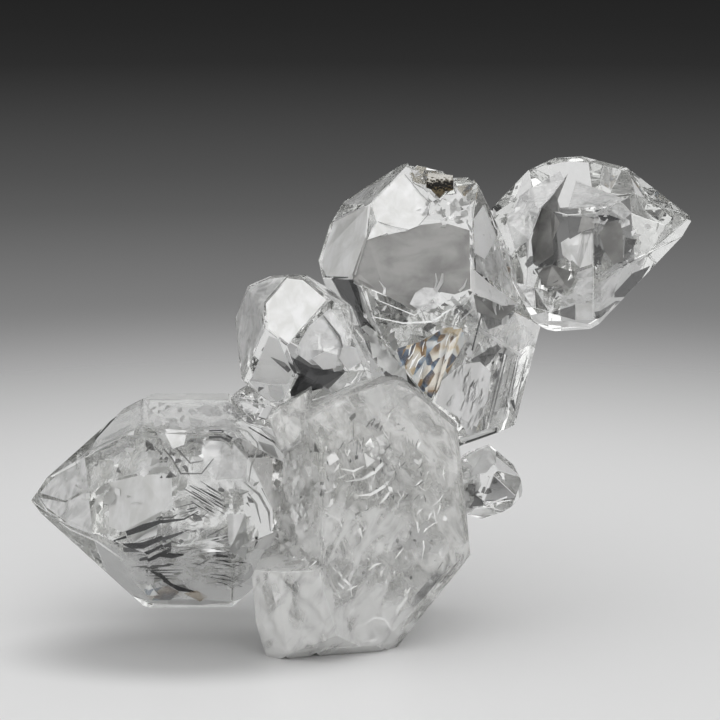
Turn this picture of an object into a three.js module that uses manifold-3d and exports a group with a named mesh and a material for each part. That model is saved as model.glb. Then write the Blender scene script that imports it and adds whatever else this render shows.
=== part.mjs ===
// A cluster of doubly terminated quartz crystals (herkimer diamonds) grown together.
// Millimetres, +Z up, -Y towards the front of the cluster. The exported group is moved so
// that its origin lies on the ground under the middle of the bounding box.
//
// Every crystal is a convex solid bounded by flat growth faces. A face is given by the
// direction it faces and by its distance from the crystal's centre:
//   bearing  0 = front (-Y), 90 = right (+X), 180 = back, -90 = left
//   pitch    degrees above the horizontal
// Where a crystal keeps the quartz habit, its faces follow from the direction of its
// c axis: six prism faces parallel to the axis and six tip faces at each end.

import * as THREE from "three";
import { mergeVertices } from "three/addons/utils/BufferGeometryUtils.js";
import Module from "manifold-3d";

const wasm = await Module();
wasm.setup();

// ---------------------------------------------------------------- driving sizes
const TIP_POLAR = 51.8;      // from the c axis to the normal of a tip face
const BLANK = 80;            // edge of the block that a crystal is cut from
const GROUND = 0;            // height of the broken foot
const GRAIN_GAP = 0.3;       // clearance of the dark grain in its pit

// Crystals that keep the habit. axis: bearing and pitch of the upper end of the c axis.
// prism, top, bottom: distances of the six faces of each set, in turn about the axis.
// corners: small facets that blunt a corner, as [bearing, pitch, distance].
const LEFT = {
  at: [-21.6, 2.2, 16.1], axis: [-86, 1], spin: 290,
  prism: [12.1, 12.3, 11.0, 11.9, 11.6, 12.1],
  top: [11.7, 13.3, 12.8, 13.1, 12.8, 12.8],
  bottom: [12.7, 12.7, 12.7, 12.7, 12.4, 12.9],
  corners: [[34, 46, 14.5], [24, -10, 14.5], [-141, -42, 14.2], [-117, 61, 14.1]],
};
const SHOULDER = {
  at: [-7.5, 0.4, 36.6], axis: [-119, 31], spin: 15,
  prism: [7.6, 5.4, 6.8, 7.6, 6.2, 6.6],
  top: [8.6, 5.1, 7.3, 7.9, 6.4, 8.2],
  bottom: [7.3, 8.3, 7.4, 7.2, 7.2, 5.9],
  corners: [[-35, 80, 9.1], [-130, -38, 8.5]],
};
const RIGHT = {
  at: [28.0, 16.9, 47.1], axis: [91, 4], spin: 74.5,
  prism: [11.4, 10.9, 9.6, 10.1, 12.2, 7.5],
  top: [10.1, 9.8, 8.1, 9.8, 10.8, 10.5],
  bottom: [10.0, 11.4, 10.4, 9.3, 10.6, 9.2],
  corners: [[-168, 22, 12.5], [172, 23, 12.6], [-40, -63, 12.4]],
};
const SMALL = {
  at: [15.7, 1.6, 18.4], axis: [127, -22], spin: 94,
  prism: [3.4, 3.8, 3.9, 3.9, 4.6, 3.7],
  top: [4.4, 4.1, 4.0, 4.0, 3.4, 4.4],
  bottom: [4.2, 4.1, 4.0, 4.0, 4.1, 3.8],
  corners: [],
};
const STUB = {
  at: [-12.4, 1.5, 28.6], axis: [-60, 20], spin: 10,
  prism: [2.8, 2.6, 2.9, 2.7, 2.8, 2.6],
  top: [3.0, 2.8, 3.1, 2.9, 3.0, 2.7],
  bottom: [3.4, 3.2, 3.3, 3.2, 3.4, 3.2],
  corners: [],
};

// Crystals with a distorted habit. faces: [bearing, pitch, distance].
const MIDDLE = {
  at: [8.3, 11.4, 40.2],
  faces: {
    broadFront: [1, 21, 11.0], whiteTop: [-3.5, 39.5, 13.1], thinLeft: [-6.5, 39, 13.2],
    thinLower: [-5, 35, 12.9], leftPrism: [-60.5, 25.5, 13.7], upperLeft: [-81, 49.5, 15.2],
    hazyTop: [2, 38, 12.9], darkWedge: [-53.5, -16.5, 11.5], strip: [-41, -12, 12.1],
    lowerFront: [-7, 0.5, 11.3], right: [58.5, 13, 11.1], farRight: [65, 13.5, 11.1],
    lowerRight: [47.5, -12, 10.5], lowerFarRight: [53.5, -13, 10.9],
    backUpperLeft: [-123, 58, 16.2], backLeft: [-103.5, 13, 13.7], backLowerLeft: [-90.5, -17.5, 11.3],
    backUpperRight: [115, 31, 11.7], backRight: [107.5, 25.5, 12.1], backLowerRight: [97.5, -12.5, 16.0],
    lowerTip: [64, -68, 19.6], tipLeft: [-123, -26.5, 7.2], topBreak: [147.5, 63.5, 14.9],
    back: [165, 14, 11.5], backLower: [163, -28, 15.2], backLeftLower: [-144, -10, 11.5],
    lowerLeft: [-51, -27, 11.2], backCorner: [-137, 38, 16.8],
  },
};
const FRONT = {
  at: [1.0, -4.0, 15.7],
  faces: {
    front: [17.5, -2, 8.6], frontLeft: [-53, -2, 10.9], upperFront: [27.5, 40, 13.3],
    upperLeft: [-104.5, 68.5, 16.2], lowerRight: [45, -29, 12.8], upperRight: [39, 38, 13.5],
    leftStep: [-54.5, 3, 12.1], crown: [-172.5, 64, 15.6], backUpperRight: [123.5, 43.5, 14.6],
    right: [90.5, 6, 12.2], underRight: [94, -37, 12.1], left: [-102.5, 5.5, 9.9],
    back: [175, 8, 12.6], backLeft: [-139, 2, 13.6], backTop: [180, 33, 14.0], backRight: [134, 2, 13.6],
    footBreak: [14.5, -50, 16.3], backCorner: [-130, 52, 16.4],
  },
};
const LOBE = {
  at: [-8.7, -10.1, 6.5],
  faces: {
    front: [-19.5, -3.5, 4.4], top: [-69, 81, 5.3], frontLeft: [-33.5, -5, 4.1],
    upperLeft: [-95.5, 25.5, 5.5], left: [-99, -4, 3.9], lowerLeft: [-98.5, -17, 4.3],
    right: [62, 14.5, 7.4], back: [170, -12, 5.6], footBreak: [14.5, -50, 7.0],
  },
};
const CORNER = {
  at: [-9.2, -8.2, 28.2],
  faces: {
    underLeft: [-95, -28, 1.3], topLeft: [-92, 56, 2.1], front: [-46, 4, 2.2], frontTop: [-30, 44, 2.2],
    right: [80, 0, 3.0], back: [170, 20, 3.4], under: [40, -60, 3.4],
  },
};

// Broken places. Each is a block of the given size, cut to its faces and taken away.
const CHIPS = {
  topLeftFloor: {
    at: [10.3, 6.9, 56.6], size: 8,
    faces: { rear: [180, -15, 2.2], left: [-90, -13, 3.6], floorLeft: [-117, -68, 1.9], floorRight: [143, -78, 1.3] },
  },
  rimBite: {
    at: [12.0, 10.0, 57.2], size: 7,
    faces: { left: [-90, -40, 1.2], floor: [90, -78, 1.1] },
  },
  rimNick: {
    at: [6.6, 9.5, 57.6], size: 2.4,
    faces: { left: [-90, -30, 0.2], right: [90, -40, 0.3] },
  },
};

// Small arches in the broken foot: [x, y, height].
const FOOT_NOTCHES = [[-9.2, -13.4, 0.4], [-5.6, -12.5, 0.7], [-1.5, -11.8, 0.3], [3.0, -10.4, 0.4]];

// Growth terraces: a corner of a face steps down. The step's edge faces `towards` and
// lies `from` mm off the middle of the face.
const TERRACES = [
  { crystal: MIDDLE, face: "back", depth: 0.3, towards: [-100, -20], from: 4.0, size: 18 },
  { crystal: MIDDLE, face: "backRight", depth: 0.25, towards: [160, -40], from: 2.5, size: 12 },
  { crystal: FRONT, face: "backRight", depth: 0.3, towards: [-150, 30], from: 2.0, size: 14 },
];

// The dark mineral grain: a streak on the floor of the chip, and a wedge in front of it.
const GRAIN = {
  streak: {
    at: [10.1, 8.0, 55.5],
    faces: {
      top: [10, 62, 0.5], rear: [180, -15, 1.0], left: [-92, 8, 1.7], right: [95, -8, 1.6],
      floorLeft: [-117, -68, 0.5], floorRight: [143, -78, 0.45], front: [0, 20, 0.9],
    },
  },
  wedge: {
    at: [10.0, 6.7, 54.9],
    faces: {
      leftDown: [-90, -46, 0.5], rightDown: [90, -43, 0.5], front: [2, 38, 0.3], rear: [180, 0, 0.9],
      top: [0, 86, 0.6],
    },
  },
};

// ---------------------------------------------------------------- geometry helpers
const rad = THREE.MathUtils.degToRad;

/** Unit vector of a bearing and pitch. */
function heading(bearing, pitch) {
  const b = rad(bearing), p = rad(pitch);
  return new THREE.Vector3(Math.sin(b) * Math.cos(p), -Math.cos(b) * Math.cos(p), Math.sin(p));
}

/** Closed three.js geometry to a manifold solid. */
function toSolid(geometry) {
  const g = geometry.clone();
  g.deleteAttribute("normal");
  g.deleteAttribute("uv");
  const merged = mergeVertices(g, 1e-5);
  return new wasm.Manifold(new wasm.Mesh({
    numProp: 3,
    vertProperties: new Float32Array(merged.attributes.position.array),
    triVerts: new Uint32Array(merged.index.array),
  }));
}

/** Manifold solid back to a three.js geometry. */
function toGeometry(solid) {
  const mesh = solid.getMesh();
  const g = new THREE.BufferGeometry();
  g.setAttribute("position", new THREE.BufferAttribute(new Float32Array(mesh.vertProperties), 3));
  g.setIndex(new THREE.BufferAttribute(new Uint32Array(mesh.triVerts), 1));
  g.computeVertexNormals();
  return g;
}

/** A block about a centre, cut back to each face. */
function cutBlock(at, faces, size = BLANK) {
  const centre = new THREE.Vector3(...at);
  const block = new THREE.BoxGeometry(size, size, size);
  block.translate(centre.x, centre.y, centre.z);
  let solid = toSolid(block);
  for (const { normal, distance } of faces) {
    const inward = normal.clone().negate();
    solid = solid.trimByPlane(inward.toArray(), inward.dot(centre) - distance);
  }
  return solid;
}

/** Faces that are written as bearing, pitch and distance, each moved out by `grow`. */
const namedFaces = (list, grow = 0) => list
  .map(([bearing, pitch, distance]) => ({ normal: heading(bearing, pitch), distance: distance + grow }));

/** Faces of a quartz habit. */
function habitFaces({ axis, spin, prism, top, bottom, corners }) {
  const c = heading(...axis);
  const side = new THREE.Vector3().crossVectors(c, new THREE.Vector3(0, 0, 1)).normalize();
  const up = new THREE.Vector3().crossVectors(side, c);
  const faces = namedFaces(corners);
  const add = (polar, turn, distance) => {
    const p = rad(polar), t = rad(turn);
    const normal = c.clone().multiplyScalar(Math.cos(p))
      .addScaledVector(up, Math.sin(p) * Math.cos(t))
      .addScaledVector(side, Math.sin(p) * Math.sin(t));
    faces.push({ normal, distance });
  };
  for (let k = 0; k < 6; k += 1) {
    const turn = spin + 60 * k;
    add(90, turn, prism[k]);
    add(TIP_POLAR, turn, top[k]);
    add(180 - TIP_POLAR, turn, bottom[k]);
  }
  return faces;
}

const habitCrystal = (spec) => cutBlock(spec.at, habitFaces(spec));
const facedCrystal = (spec, grow = 0) => cutBlock(spec.at, namedFaces(Object.values(spec.faces), grow), spec.size);

/** An arch through the edge of the foot. */
function footNotch([x, y, height]) {
  const slope = 45, reach = 1.3;
  const faces = [[-75, slope, height * Math.sin(rad(slope))], [105, slope, height * Math.sin(rad(slope))], [180, 10, reach]];
  return cutBlock([x, y, GROUND], namedFaces(faces), 5);
}

/** A thin slab that steps part of a face down. */
function terrace({ crystal, face, depth, towards, from, size }) {
  const [bearing, pitch, distance] = crystal.faces[face];
  const normal = heading(bearing, pitch);
  const middle = new THREE.Vector3(...crystal.at).addScaledVector(normal, distance);
  const faces = [
    { normal: normal.clone().negate(), distance: depth },
    { normal: heading(...towards).negate(), distance: -from },
  ];
  return cutBlock(middle.toArray(), faces, size);
}

const join = (solids) => solids.reduce((whole, solid) => whole.add(solid));

/** The dark grain, or with `grow` the pit that holds it. */
const grain = (grow) => join([facedCrystal(GRAIN.streak, grow), facedCrystal(GRAIN.wedge, grow)]);

// ---------------------------------------------------------------- the cluster
const crystals = join([
  habitCrystal(LEFT), habitCrystal(SHOULDER), habitCrystal(RIGHT), habitCrystal(SMALL), habitCrystal(STUB),
  facedCrystal(MIDDLE), facedCrystal(FRONT), facedCrystal(LOBE), facedCrystal(CORNER),
]).trimByPlane([0, 0, 1], GROUND);
const breaks = join([
  ...Object.values(CHIPS).map((chip) => facedCrystal(chip)),
  ...FOOT_NOTCHES.map(footNotch), ...TERRACES.map(terrace), grain(GRAIN_GAP),
]);
const cluster = crystals.subtract(breaks);

/** A named mesh with its own material. */
function piece(name, solid, finish) {
  const material = new THREE.MeshStandardMaterial({ ...finish, metalness: 0, flatShading: true });
  const mesh = new THREE.Mesh(toGeometry(solid), material);
  mesh.name = name;
  return mesh;
}

const group = new THREE.Group();
group.add(piece("crystal_cluster", cluster, { color: 0xe6e8e6, roughness: 0.05 }));
group.add(piece("dark_mineral_grain", grain(0), { color: 0x1c1a15, roughness: 0.6 }));

const { min, max } = cluster.boundingBox();
group.position.set(-(min[0] + max[0]) / 2, -(min[1] + max[1]) / 2, -min[2]);

export default group;
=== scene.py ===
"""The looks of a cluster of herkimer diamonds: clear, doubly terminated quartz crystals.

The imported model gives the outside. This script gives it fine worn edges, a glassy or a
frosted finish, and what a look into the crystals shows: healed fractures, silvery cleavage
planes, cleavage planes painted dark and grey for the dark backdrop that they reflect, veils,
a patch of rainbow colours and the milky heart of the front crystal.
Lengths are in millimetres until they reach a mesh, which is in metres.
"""

from __future__ import annotations

import logging
import math
from dataclasses import dataclass, field, fields, replace
from enum import Enum

import bmesh
import bpy
import numpy as np
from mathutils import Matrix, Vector

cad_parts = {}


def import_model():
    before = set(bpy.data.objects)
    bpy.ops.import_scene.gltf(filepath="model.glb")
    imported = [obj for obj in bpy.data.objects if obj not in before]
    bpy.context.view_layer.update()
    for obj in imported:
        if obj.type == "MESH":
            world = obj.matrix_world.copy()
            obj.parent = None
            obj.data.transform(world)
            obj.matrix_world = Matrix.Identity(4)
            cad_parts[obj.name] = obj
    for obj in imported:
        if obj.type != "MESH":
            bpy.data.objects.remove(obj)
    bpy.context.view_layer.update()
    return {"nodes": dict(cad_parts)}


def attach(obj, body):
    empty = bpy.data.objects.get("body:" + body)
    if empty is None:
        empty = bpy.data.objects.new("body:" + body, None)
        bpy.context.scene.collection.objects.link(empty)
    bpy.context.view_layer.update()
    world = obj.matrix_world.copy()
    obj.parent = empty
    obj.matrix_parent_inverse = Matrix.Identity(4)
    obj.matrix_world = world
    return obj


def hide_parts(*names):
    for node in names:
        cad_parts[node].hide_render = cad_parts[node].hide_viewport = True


log = logging.getLogger("herkimer")

MM = 0.001
QUARTZ_IOR = 1.544
QUARTZ_DENSITY = 8.0              # how strongly a crystal's tint is taken up, per metre
BODY = "root"

# The model's own origin, seen from the point that its crystals are measured from.
SHIFT = np.array([-0.6, -6.0, 0.0])

FLAT = (0.0, 0.0)
FULL_TURN = 6.28                  # radians, close enough for a random phase
SMOOTH = {"interpolation_type": "SMOOTHSTEP"}

Array = np.ndarray
Mesh = bpy.types.Mesh
Material = bpy.types.Material
Tree = bpy.types.NodeTree
Socket = bpy.types.NodeSocket
Pair = tuple[float, float]
Triple = tuple[float, float, float]
Spots = tuple[float, ...]         # across and up, again and again


# ---- colour and node helpers
def linear(code: str) -> tuple[float, float, float, float]:
    """Turn an sRGB hex colour into a linear colour with full alpha.

    Args:
        code: six hex digits, such as "c8c8c4".

    Returns:
        Linear red, green, blue and alpha.
    """
    channels = np.array([int(code[i:i + 2], 16) for i in (0, 2, 4)]) / 255.0
    high = ((channels + 0.055) / 1.055) ** 2.4
    red, green, blue = np.where(channels <= 0.04045, channels / 12.92, high).tolist()
    return red, green, blue, 1.0


def add_node(tree: Tree, kind: str, settings: dict | None = None, inputs: dict | None = None,
             stops: list[tuple[float, str]] | None = None) -> bpy.types.Node:
    """Add one node with its settings, socket values and links.

    Args:
        tree: the node tree.
        kind: the node's type name without its "ShaderNode" prefix.
        settings: attribute name to value.
        inputs: socket name or number to a value, or to the output socket to link from.
        stops: a colour ramp's positions, each with its hex colour.

    Returns:
        The new node.
    """
    node = tree.nodes.new("ShaderNode" + kind)
    for name, value in (settings or {}).items():
        setattr(node, name, value)
    for _ in (stops or [])[2:]:
        node.color_ramp.elements.new(0.5)
    for element, (position, code) in zip(node.color_ramp.elements if stops else (), stops or ()):
        element.position = position
        element.color = linear(code)
    for key, value in (inputs or {}).items():
        if isinstance(value, Socket):
            tree.links.new(value, node.inputs[key])
        else:
            node.inputs[key].default_value = value
    return node


def new_material(name: str) -> tuple[Material, Tree]:
    """Make a material with an empty node tree."""
    material = bpy.data.materials.new(name)
    material.use_nodes = True
    material.node_tree.nodes.clear()
    return material, material.node_tree


def surface(tree: Tree, inputs: dict, tint: str = "") -> None:
    """Give a material's tree its Principled shader and its output.

    Args:
        tree: the node tree.
        inputs: the shader's values and links by socket name.
        tint: the colour that a closed solid takes up from the light that crosses it, if any.
    """
    parts = {"Surface": add_node(tree, "BsdfPrincipled", None, inputs).outputs[0]}
    if tint:
        taken = {"Color": linear(tint), "Density": QUARTZ_DENSITY}
        parts["Volume"] = add_node(tree, "VolumeAbsorption", None, taken).outputs[0]
    add_node(tree, "OutputMaterial", None, parts)


def cells(tree: Tree, size: Triple, turn: Triple = (0, 0, 0), middle: Triple = (0, 0, 0)) -> Socket:
    """The object's own coordinates, counted in cells of a size.

    Args:
        tree: the node tree.
        size: a cell's size along each axis, in metres.
        turn: the cells' turn about the axes, in degrees.
        middle: where they are counted from, in metres.

    Returns:
        The socket of the coordinates.
    """
    place = add_node(tree, "TexCoord").outputs["Object"]
    return add_node(tree, "Mapping", {"vector_type": "TEXTURE"},
                    {"Vector": place, "Location": middle, "Rotation": tuple(map(math.radians, turn)),
                     "Scale": size}).outputs[0]


def mottling(tree: Tree, grain_mm: float, stretch: Triple = (1, 1, 1), turn: Triple = (0, 0, 0),
             detail: float = 4.0, warp: float = 0.0) -> Socket:
    """Cloudy pattern fixed in the crystal, with grains of a real size.

    Args:
        tree: the node tree.
        grain_mm: the size of a grain.
        stretch: how many times longer a grain is along each axis.
        turn: the pattern's turn about the axes, in degrees.
        detail: the number of finer layers.
        warp: how much the pattern is twisted on itself.

    Returns:
        The socket of the pattern, from 0 to 1.
    """
    size = tuple(grain_mm * MM * share for share in stretch)
    inputs = {"Vector": cells(tree, size, turn), "Scale": 1.0, "Detail": detail, "Distortion": warp}
    return add_node(tree, "TexNoise", None, inputs).outputs["Fac"]


# ---- finishes
@dataclass(frozen=True)
class ClearQuartz:
    """Rock crystal with natural growth faces: glassy, with a faint wave in each face."""

    name: str = "rock_crystal_growth_faces"
    hillock_mm: float = 3.2       # width of a growth hillock
    height_mm: float = 0.010
    tint: str = "e6e9e2"          # shades light that crosses it, very faintly

    def build(self) -> Material:
        """Make the material: full transmission, quartz IOR, a little absorption."""
        material, tree = new_material(self.name)
        hillocks = mottling(tree, self.hillock_mm, detail=1.0)
        bump = add_node(tree, "Bump", None,
                        {"Height": hillocks, "Distance": self.height_mm * MM, "Strength": 1.0})
        surface(tree, {"Base Color": linear("ffffff"), "Transmission Weight": 1.0, "IOR": QUARTZ_IOR,
                       "Roughness": 0.0, "Normal": bump.outputs[0]}, self.tint)
        return material


@dataclass(frozen=True)
class FrostedQuartz:
    """The front crystal's skin: etched and bruised, so milky in wisps, with glassy patches."""

    name: str = "etched_milky_crystal_skin"
    colour: str = "fcfcfb"
    tint: str = "f2f1ee"
    wisp_mm: float = 2.2          # width of a milky wisp
    patch_mm: float = 5.0         # width of a clearer or milkier patch
    pit_mm: float = 1.6           # width of an etch pit
    pit_depth_mm: float = 0.035
    clear: float = 0.95           # transmission where it is glassy
    milky: float = 0.58           # transmission where it is milky
    frost: float = 0.12           # roughness where it is milkiest
    start: float = 0.8            # sum of wisps, patches and place where the milk begins
    end: Pair = (1.2, 1.3)        # and where it and its frost are full
    height_mm: float = 30.0       # from the milky foot to the clearer head
    foot: float = 0.14            # what the foot adds to the sum
    head: float = -0.3            # and the head
    rightward: float = -11.0      # and each metre to the right

    def build(self) -> Material:
        """Make the material: wisps and patches set how much light gets through, and how bent."""
        material, tree = new_material(self.name)
        wisps = mottling(tree, self.wisp_mm, (0.8, 1, 2.0), (0, 28, 0), detail=5.0, warp=0.8)
        patches = mottling(tree, self.patch_mm, detail=2.0, warp=0.5)
        pits = mottling(tree, self.pit_mm, (1, 1, 1.8), detail=3.0, warp=0.8)
        way = add_node(tree, "SeparateXYZ", None, {0: add_node(tree, "TexCoord").outputs["Object"]})
        lower = add_node(tree, "MapRange", None, {0: way.outputs["Z"], 1: 0.0, 2: self.height_mm * MM,
                                                  3: self.foot, 4: self.head})
        place = add_node(tree, "Math", {"operation": "MULTIPLY_ADD"},
                         {0: way.outputs["X"], 1: self.rightward, 2: lower.outputs[0]})
        clouds = add_node(tree, "Math", {"operation": "ADD"}, {0: wisps, 1: patches})
        both = add_node(tree, "Math", {"operation": "ADD"}, {0: clouds.outputs[0], 1: place.outputs[0]})
        through, rough = (
            add_node(tree, "MapRange", SMOOTH, {0: both.outputs[0], 1: self.start, 2: end, 3: least, 4: most})
            for end, least, most in ((self.end[0], self.clear, self.milky), (self.end[1], 0.0, self.frost)))
        bump = add_node(tree, "Bump", None,
                        {"Height": pits, "Distance": self.pit_depth_mm * MM, "Strength": 1.0})
        surface(tree, {"Base Color": linear(self.colour), "IOR": QUARTZ_IOR, "Roughness": rough.outputs[0],
                       "Transmission Weight": through.outputs[0], "Normal": bump.outputs[0]}, self.tint)
        return material


@dataclass(frozen=True)
class Veil:
    """A healed fracture: a thin film of tiny cavities that scatters white."""

    name: str
    colour: str = "f4f5f2"
    grain_mm: float = 1.2
    stretch: Triple = (1, 1, 1)
    turn: Triple = (0, 0, 0)
    least: float = 0.0            # share covered in the thinnest places
    most: float = 0.8             # share covered in the thickest
    start: float = 0.42           # noise level where the film begins
    end: float = 0.68             # noise level where it is thickest
    roughness: float = 0.6
    metallic: float = 0.6         # a mirror's share: how much of the light it turns back unscattered

    def build(self) -> Material:
        """Make the material: half matt, half silvery, with a wispy cover."""
        material, tree = new_material(self.name)
        wisps = mottling(tree, self.grain_mm, self.stretch, self.turn, detail=5.0, warp=1.2)
        cover = add_node(tree, "MapRange", SMOOTH,
                         {0: wisps, 1: self.start, 2: self.end, 3: self.least, 4: self.most})
        surface(tree, {"Base Color": linear(self.colour), "Roughness": self.roughness,
                       "Metallic": self.metallic, "Alpha": cover.outputs[0]})
        return material


@dataclass(frozen=True)
class Plain:
    """A cleavage face inside the crystal: smooth, of two close tones, more or less see-through."""

    name: str
    colour: str
    cover: float
    roughness: float
    metallic: float
    shade: str                    # the second tone of the streaks
    grain_mm: float = 0.8
    streak: float = 5.0           # how many times longer than wide the streaks are
    edge: Pair = (0.38, 0.62)     # noise levels between which the tones meet

    def build(self) -> Material:
        """Make the material: two close tones in streaks."""
        material, tree = new_material(self.name)
        streaks = mottling(tree, self.grain_mm, (1, 1, self.streak), warp=0.4)
        tones = add_node(tree, "ValToRGB", None, {0: streaks},
                         [(self.edge[0], self.shade), (self.edge[1], self.colour)])
        surface(tree, {"Base Color": tones.outputs[0], "Roughness": self.roughness,
                       "Metallic": self.metallic, "Alpha": self.cover})
        return material


@dataclass(frozen=True)
class Interference:
    """An air-filled crack thin as a wavelength of light: slivers of amber, blue, cream and slate."""

    name: str = "interference_colours_in_a_crack"
    sliver_mm: float = 1.3
    stretch: Triple = (0.7, 1.0, 1.7)
    turn: Triple = (0, 32, 0)
    cover: float = 0.92
    rise: float = 0.14            # how much thicker a sliver's film is at its rim
    drift: float = 0.7            # how much the film's thickness wanders over the crack
    drift_slivers: float = 1.6    # the wander's grain, in slivers
    span: Pair = (0.3, 1.45)      # the film's thickness at the first and the last colour
    metallic: float = 0.5
    roughness: float = 0.25
    colours: tuple[tuple[float, str], ...] = (
        (0.0, "2c313c"), (0.12, "6f7682"), (0.22, "ab8658"), (0.30, "e4d2b0"), (0.38, "fdfbf6"),
        (0.52, "eef2f4"), (0.60, "a9bdd0"), (0.68, "4d5c72"), (0.78, "9a8266"), (0.90, "f6f0e4"))

    def build(self) -> Material:
        """Make the material: each sliver's film has its own thickness, changing softly across it."""
        material, tree = new_material(self.name)
        size = tuple(self.sliver_mm * MM * share for share in self.stretch)
        slivers = add_node(tree, "TexVoronoi", None, {"Vector": cells(tree, size, self.turn), "Scale": 1.0})
        own = add_node(tree, "SeparateXYZ", None, {0: slivers.outputs["Color"]})
        across = add_node(tree, "Math", {"operation": "MULTIPLY_ADD"},
                          {0: slivers.outputs["Distance"], 1: self.rise, 2: own.outputs["X"]})
        drift = mottling(tree, self.sliver_mm * self.drift_slivers, detail=1.0, warp=0.5)
        order = add_node(tree, "Math", {"operation": "MULTIPLY_ADD"},
                         {0: drift, 1: self.drift, 2: across.outputs[0]})
        share = add_node(tree, "MapRange", None,
                         {0: order.outputs[0], 1: self.span[0], 2: self.span[1], 3: 0.0, 4: 1.0})
        tones = add_node(tree, "ValToRGB", None, {0: share.outputs[0]}, list(self.colours))
        surface(tree, {"Base Color": tones.outputs[0], "Metallic": self.metallic,
                       "Roughness": self.roughness, "Alpha": self.cover})
        return material


class Look(Enum):
    """The finishes that the features inside the crystals take, each with the name of its pieces."""

    WHITE = "silvery_cleavage"
    MILK = "milky_cleavage"
    PALE = "pale_cleavage"
    MIST = "misty_cleavage"
    SILVER = "grey_silvered_cleavage"
    # grey, half see-through sheets: cracks painted grey for the paler dark reflections in them
    SMOKE = "smoky_cleavage"
    # near-black sheets: cracks painted dark for the dark backdrop that they reflect
    DARK = "shadowed_cleavage"
    VEIL = "healed_fracture_veil"
    HAZE = "soft_inner_haze"
    RAINBOW = "rainbow_crack"
    TINGE = "faintly_tinged_crack"
    STAIN = "iron_stained_crust"

    def build(self) -> Material:
        """Make this look's material."""
        return LOOK_FINISHES[self].build()


LOOK_FINISHES = {
    Look.WHITE: Plain("silvery_cleavage", "ffffff", 0.93, 0.28, 0.9, "ececeb", 2.6, 1.8),
    Look.MILK: Plain("milky_cleavage", "ffffff", 1.0, 0.5, 0.0, "fdfdfc", 1.8, 3.0),
    Look.PALE: Plain("pale_cleavage", "ffffff", 0.8, 0.32, 0.75, "ececea", 1.6, 2.5),
    Look.MIST: Veil("misty_cleavage", "ffffff", 2.2, (1, 1, 1.6), (0, 30, 0), 0.25, 0.75, 0.34, 0.66,
                    roughness=0.35, metallic=0.7),
    Look.SILVER: Plain("grey_silvered_cleavage", "b2b1af", 0.92, 0.4, 0.7, "8b8a88", 5.0, 0.6),
    # cracks painted grey for the paler dark reflections in them
    Look.SMOKE: Plain("smoky_cleavage", "6c6c6b", 0.55, 0.2, 0.4, "4c4c4c", streak=6.0),
    # cracks painted near black for the dark backdrop that they reflect
    Look.DARK: Plain("shadowed_cleavage", "16171a", 0.93, 0.15, 0.0, "353639", streak=9.0),
    Look.VEIL: Veil("healed_fracture_veil", "fdfdfb", 1.4, (1, 1, 1.8), (0, 25, 0), most=0.75, metallic=0.4),
    Look.HAZE: Veil("soft_inner_haze", "ffffff", 3.6, least=0.03, most=0.42, start=0.36, end=0.75,
                    roughness=0.5, metallic=0.0),
    Look.RAINBOW: Interference(),
    Look.TINGE: Interference("faint_interference_colours", 2.6, cover=0.4),
    Look.STAIN: Veil("iron_stained_crust", "ece8dd", 0.6, most=0.9, start=0.3, end=0.55),
}


# ---- where the crystals are
@dataclass(frozen=True)
class Place:
    """Where a crystal is: its middle and how far it reaches, in millimetres."""

    middle: Triple
    reach: float
    frosted: bool = False


CRYSTALS = {
    "left": Place((-22.2, -3.8, 16.1), 13.0),
    "shoulder": Place((-8.1, -5.6, 36.6), 8.0),
    "middle": Place((7.7, 5.4, 40.2), 16.0),
    "right": Place((27.4, 10.9, 47.1), 12.5),
    "small": Place((15.1, -4.4, 18.4), 4.5),
    "stub": Place((-13.0, -4.5, 28.6), 3.0),
    "front": Place((0.4, -10.0, 15.7), 14.0, True),
    "lobe": Place((-9.3, -16.1, 6.5), 6.0, True),
    "corner": Place((-9.8, -14.2, 28.2), 2.8, True),
}
NAMES = list(CRYSTALS)


def nearest_crystal(points: Array) -> Array:
    """The number of the crystal that each point belongs to: the least distance per reach."""
    middles = np.array([place.middle for place in CRYSTALS.values()]) * MM
    reaches = np.array([place.reach for place in CRYSTALS.values()]) * MM
    return (np.linalg.norm(points[:, None] - middles, axis=2) / reaches).argmin(axis=1)


@dataclass
class Skin:
    """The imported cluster's triangles, for rays to meet."""

    triangles: Array
    slack: float = 1e-7           # of a hit: in shares of an edge, and in metres along the ray
    parallel: float = 1e-16       # a ray that crosses a triangle's plane less than this misses it

    def __post_init__(self) -> None:
        """Work out each triangle's edges, unit normal and crystal."""
        self.corner = self.triangles[:, 0]
        self.edge1 = self.triangles[:, 1] - self.corner
        self.edge2 = self.triangles[:, 2] - self.corner
        across = np.cross(self.edge1, self.edge2)
        self.normals = across / np.maximum(np.linalg.norm(across, axis=1, keepdims=True), 1e-18)
        self.owners = nearest_crystal(self.triangles.mean(axis=1))

    def meet(self, starts: Array, rays: Array) -> tuple[Array, Array]:
        """Where rays first meet the skin.

        Each ray is tested against every triangle at once: the hit is the solution of
        start + t ray = corner + a edge1 + b edge2, by Cramer's rule, with the least t.

        Args:
            starts: where the rays start, one per row.
            rays: unit directions, one per row.

        Returns:
            The distance along each ray, infinite on a miss, and the triangle's number.
        """
        crossed = np.cross(rays[:, None], self.edge2[None])
        scale = np.einsum("tk,rtk->rt", self.edge1, crossed)
        inverse = np.divide(1.0, scale, out=np.zeros_like(scale), where=np.abs(scale) > self.parallel)
        offset = starts[:, None] - self.corner[None]
        first = np.einsum("rtk,rtk->rt", offset, crossed) * inverse
        turned = np.cross(offset, self.edge1[None])
        second = np.einsum("rk,rtk->rt", rays, turned) * inverse
        far = np.einsum("tk,rtk->rt", self.edge2, turned) * inverse
        met = (first >= -self.slack) & (second >= -self.slack) & (first + second <= 1 + self.slack)
        far = np.where(met & (far > self.slack), far, np.inf)
        nearest = far.argmin(axis=1)
        return far[np.arange(len(rays)), nearest], nearest


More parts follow.
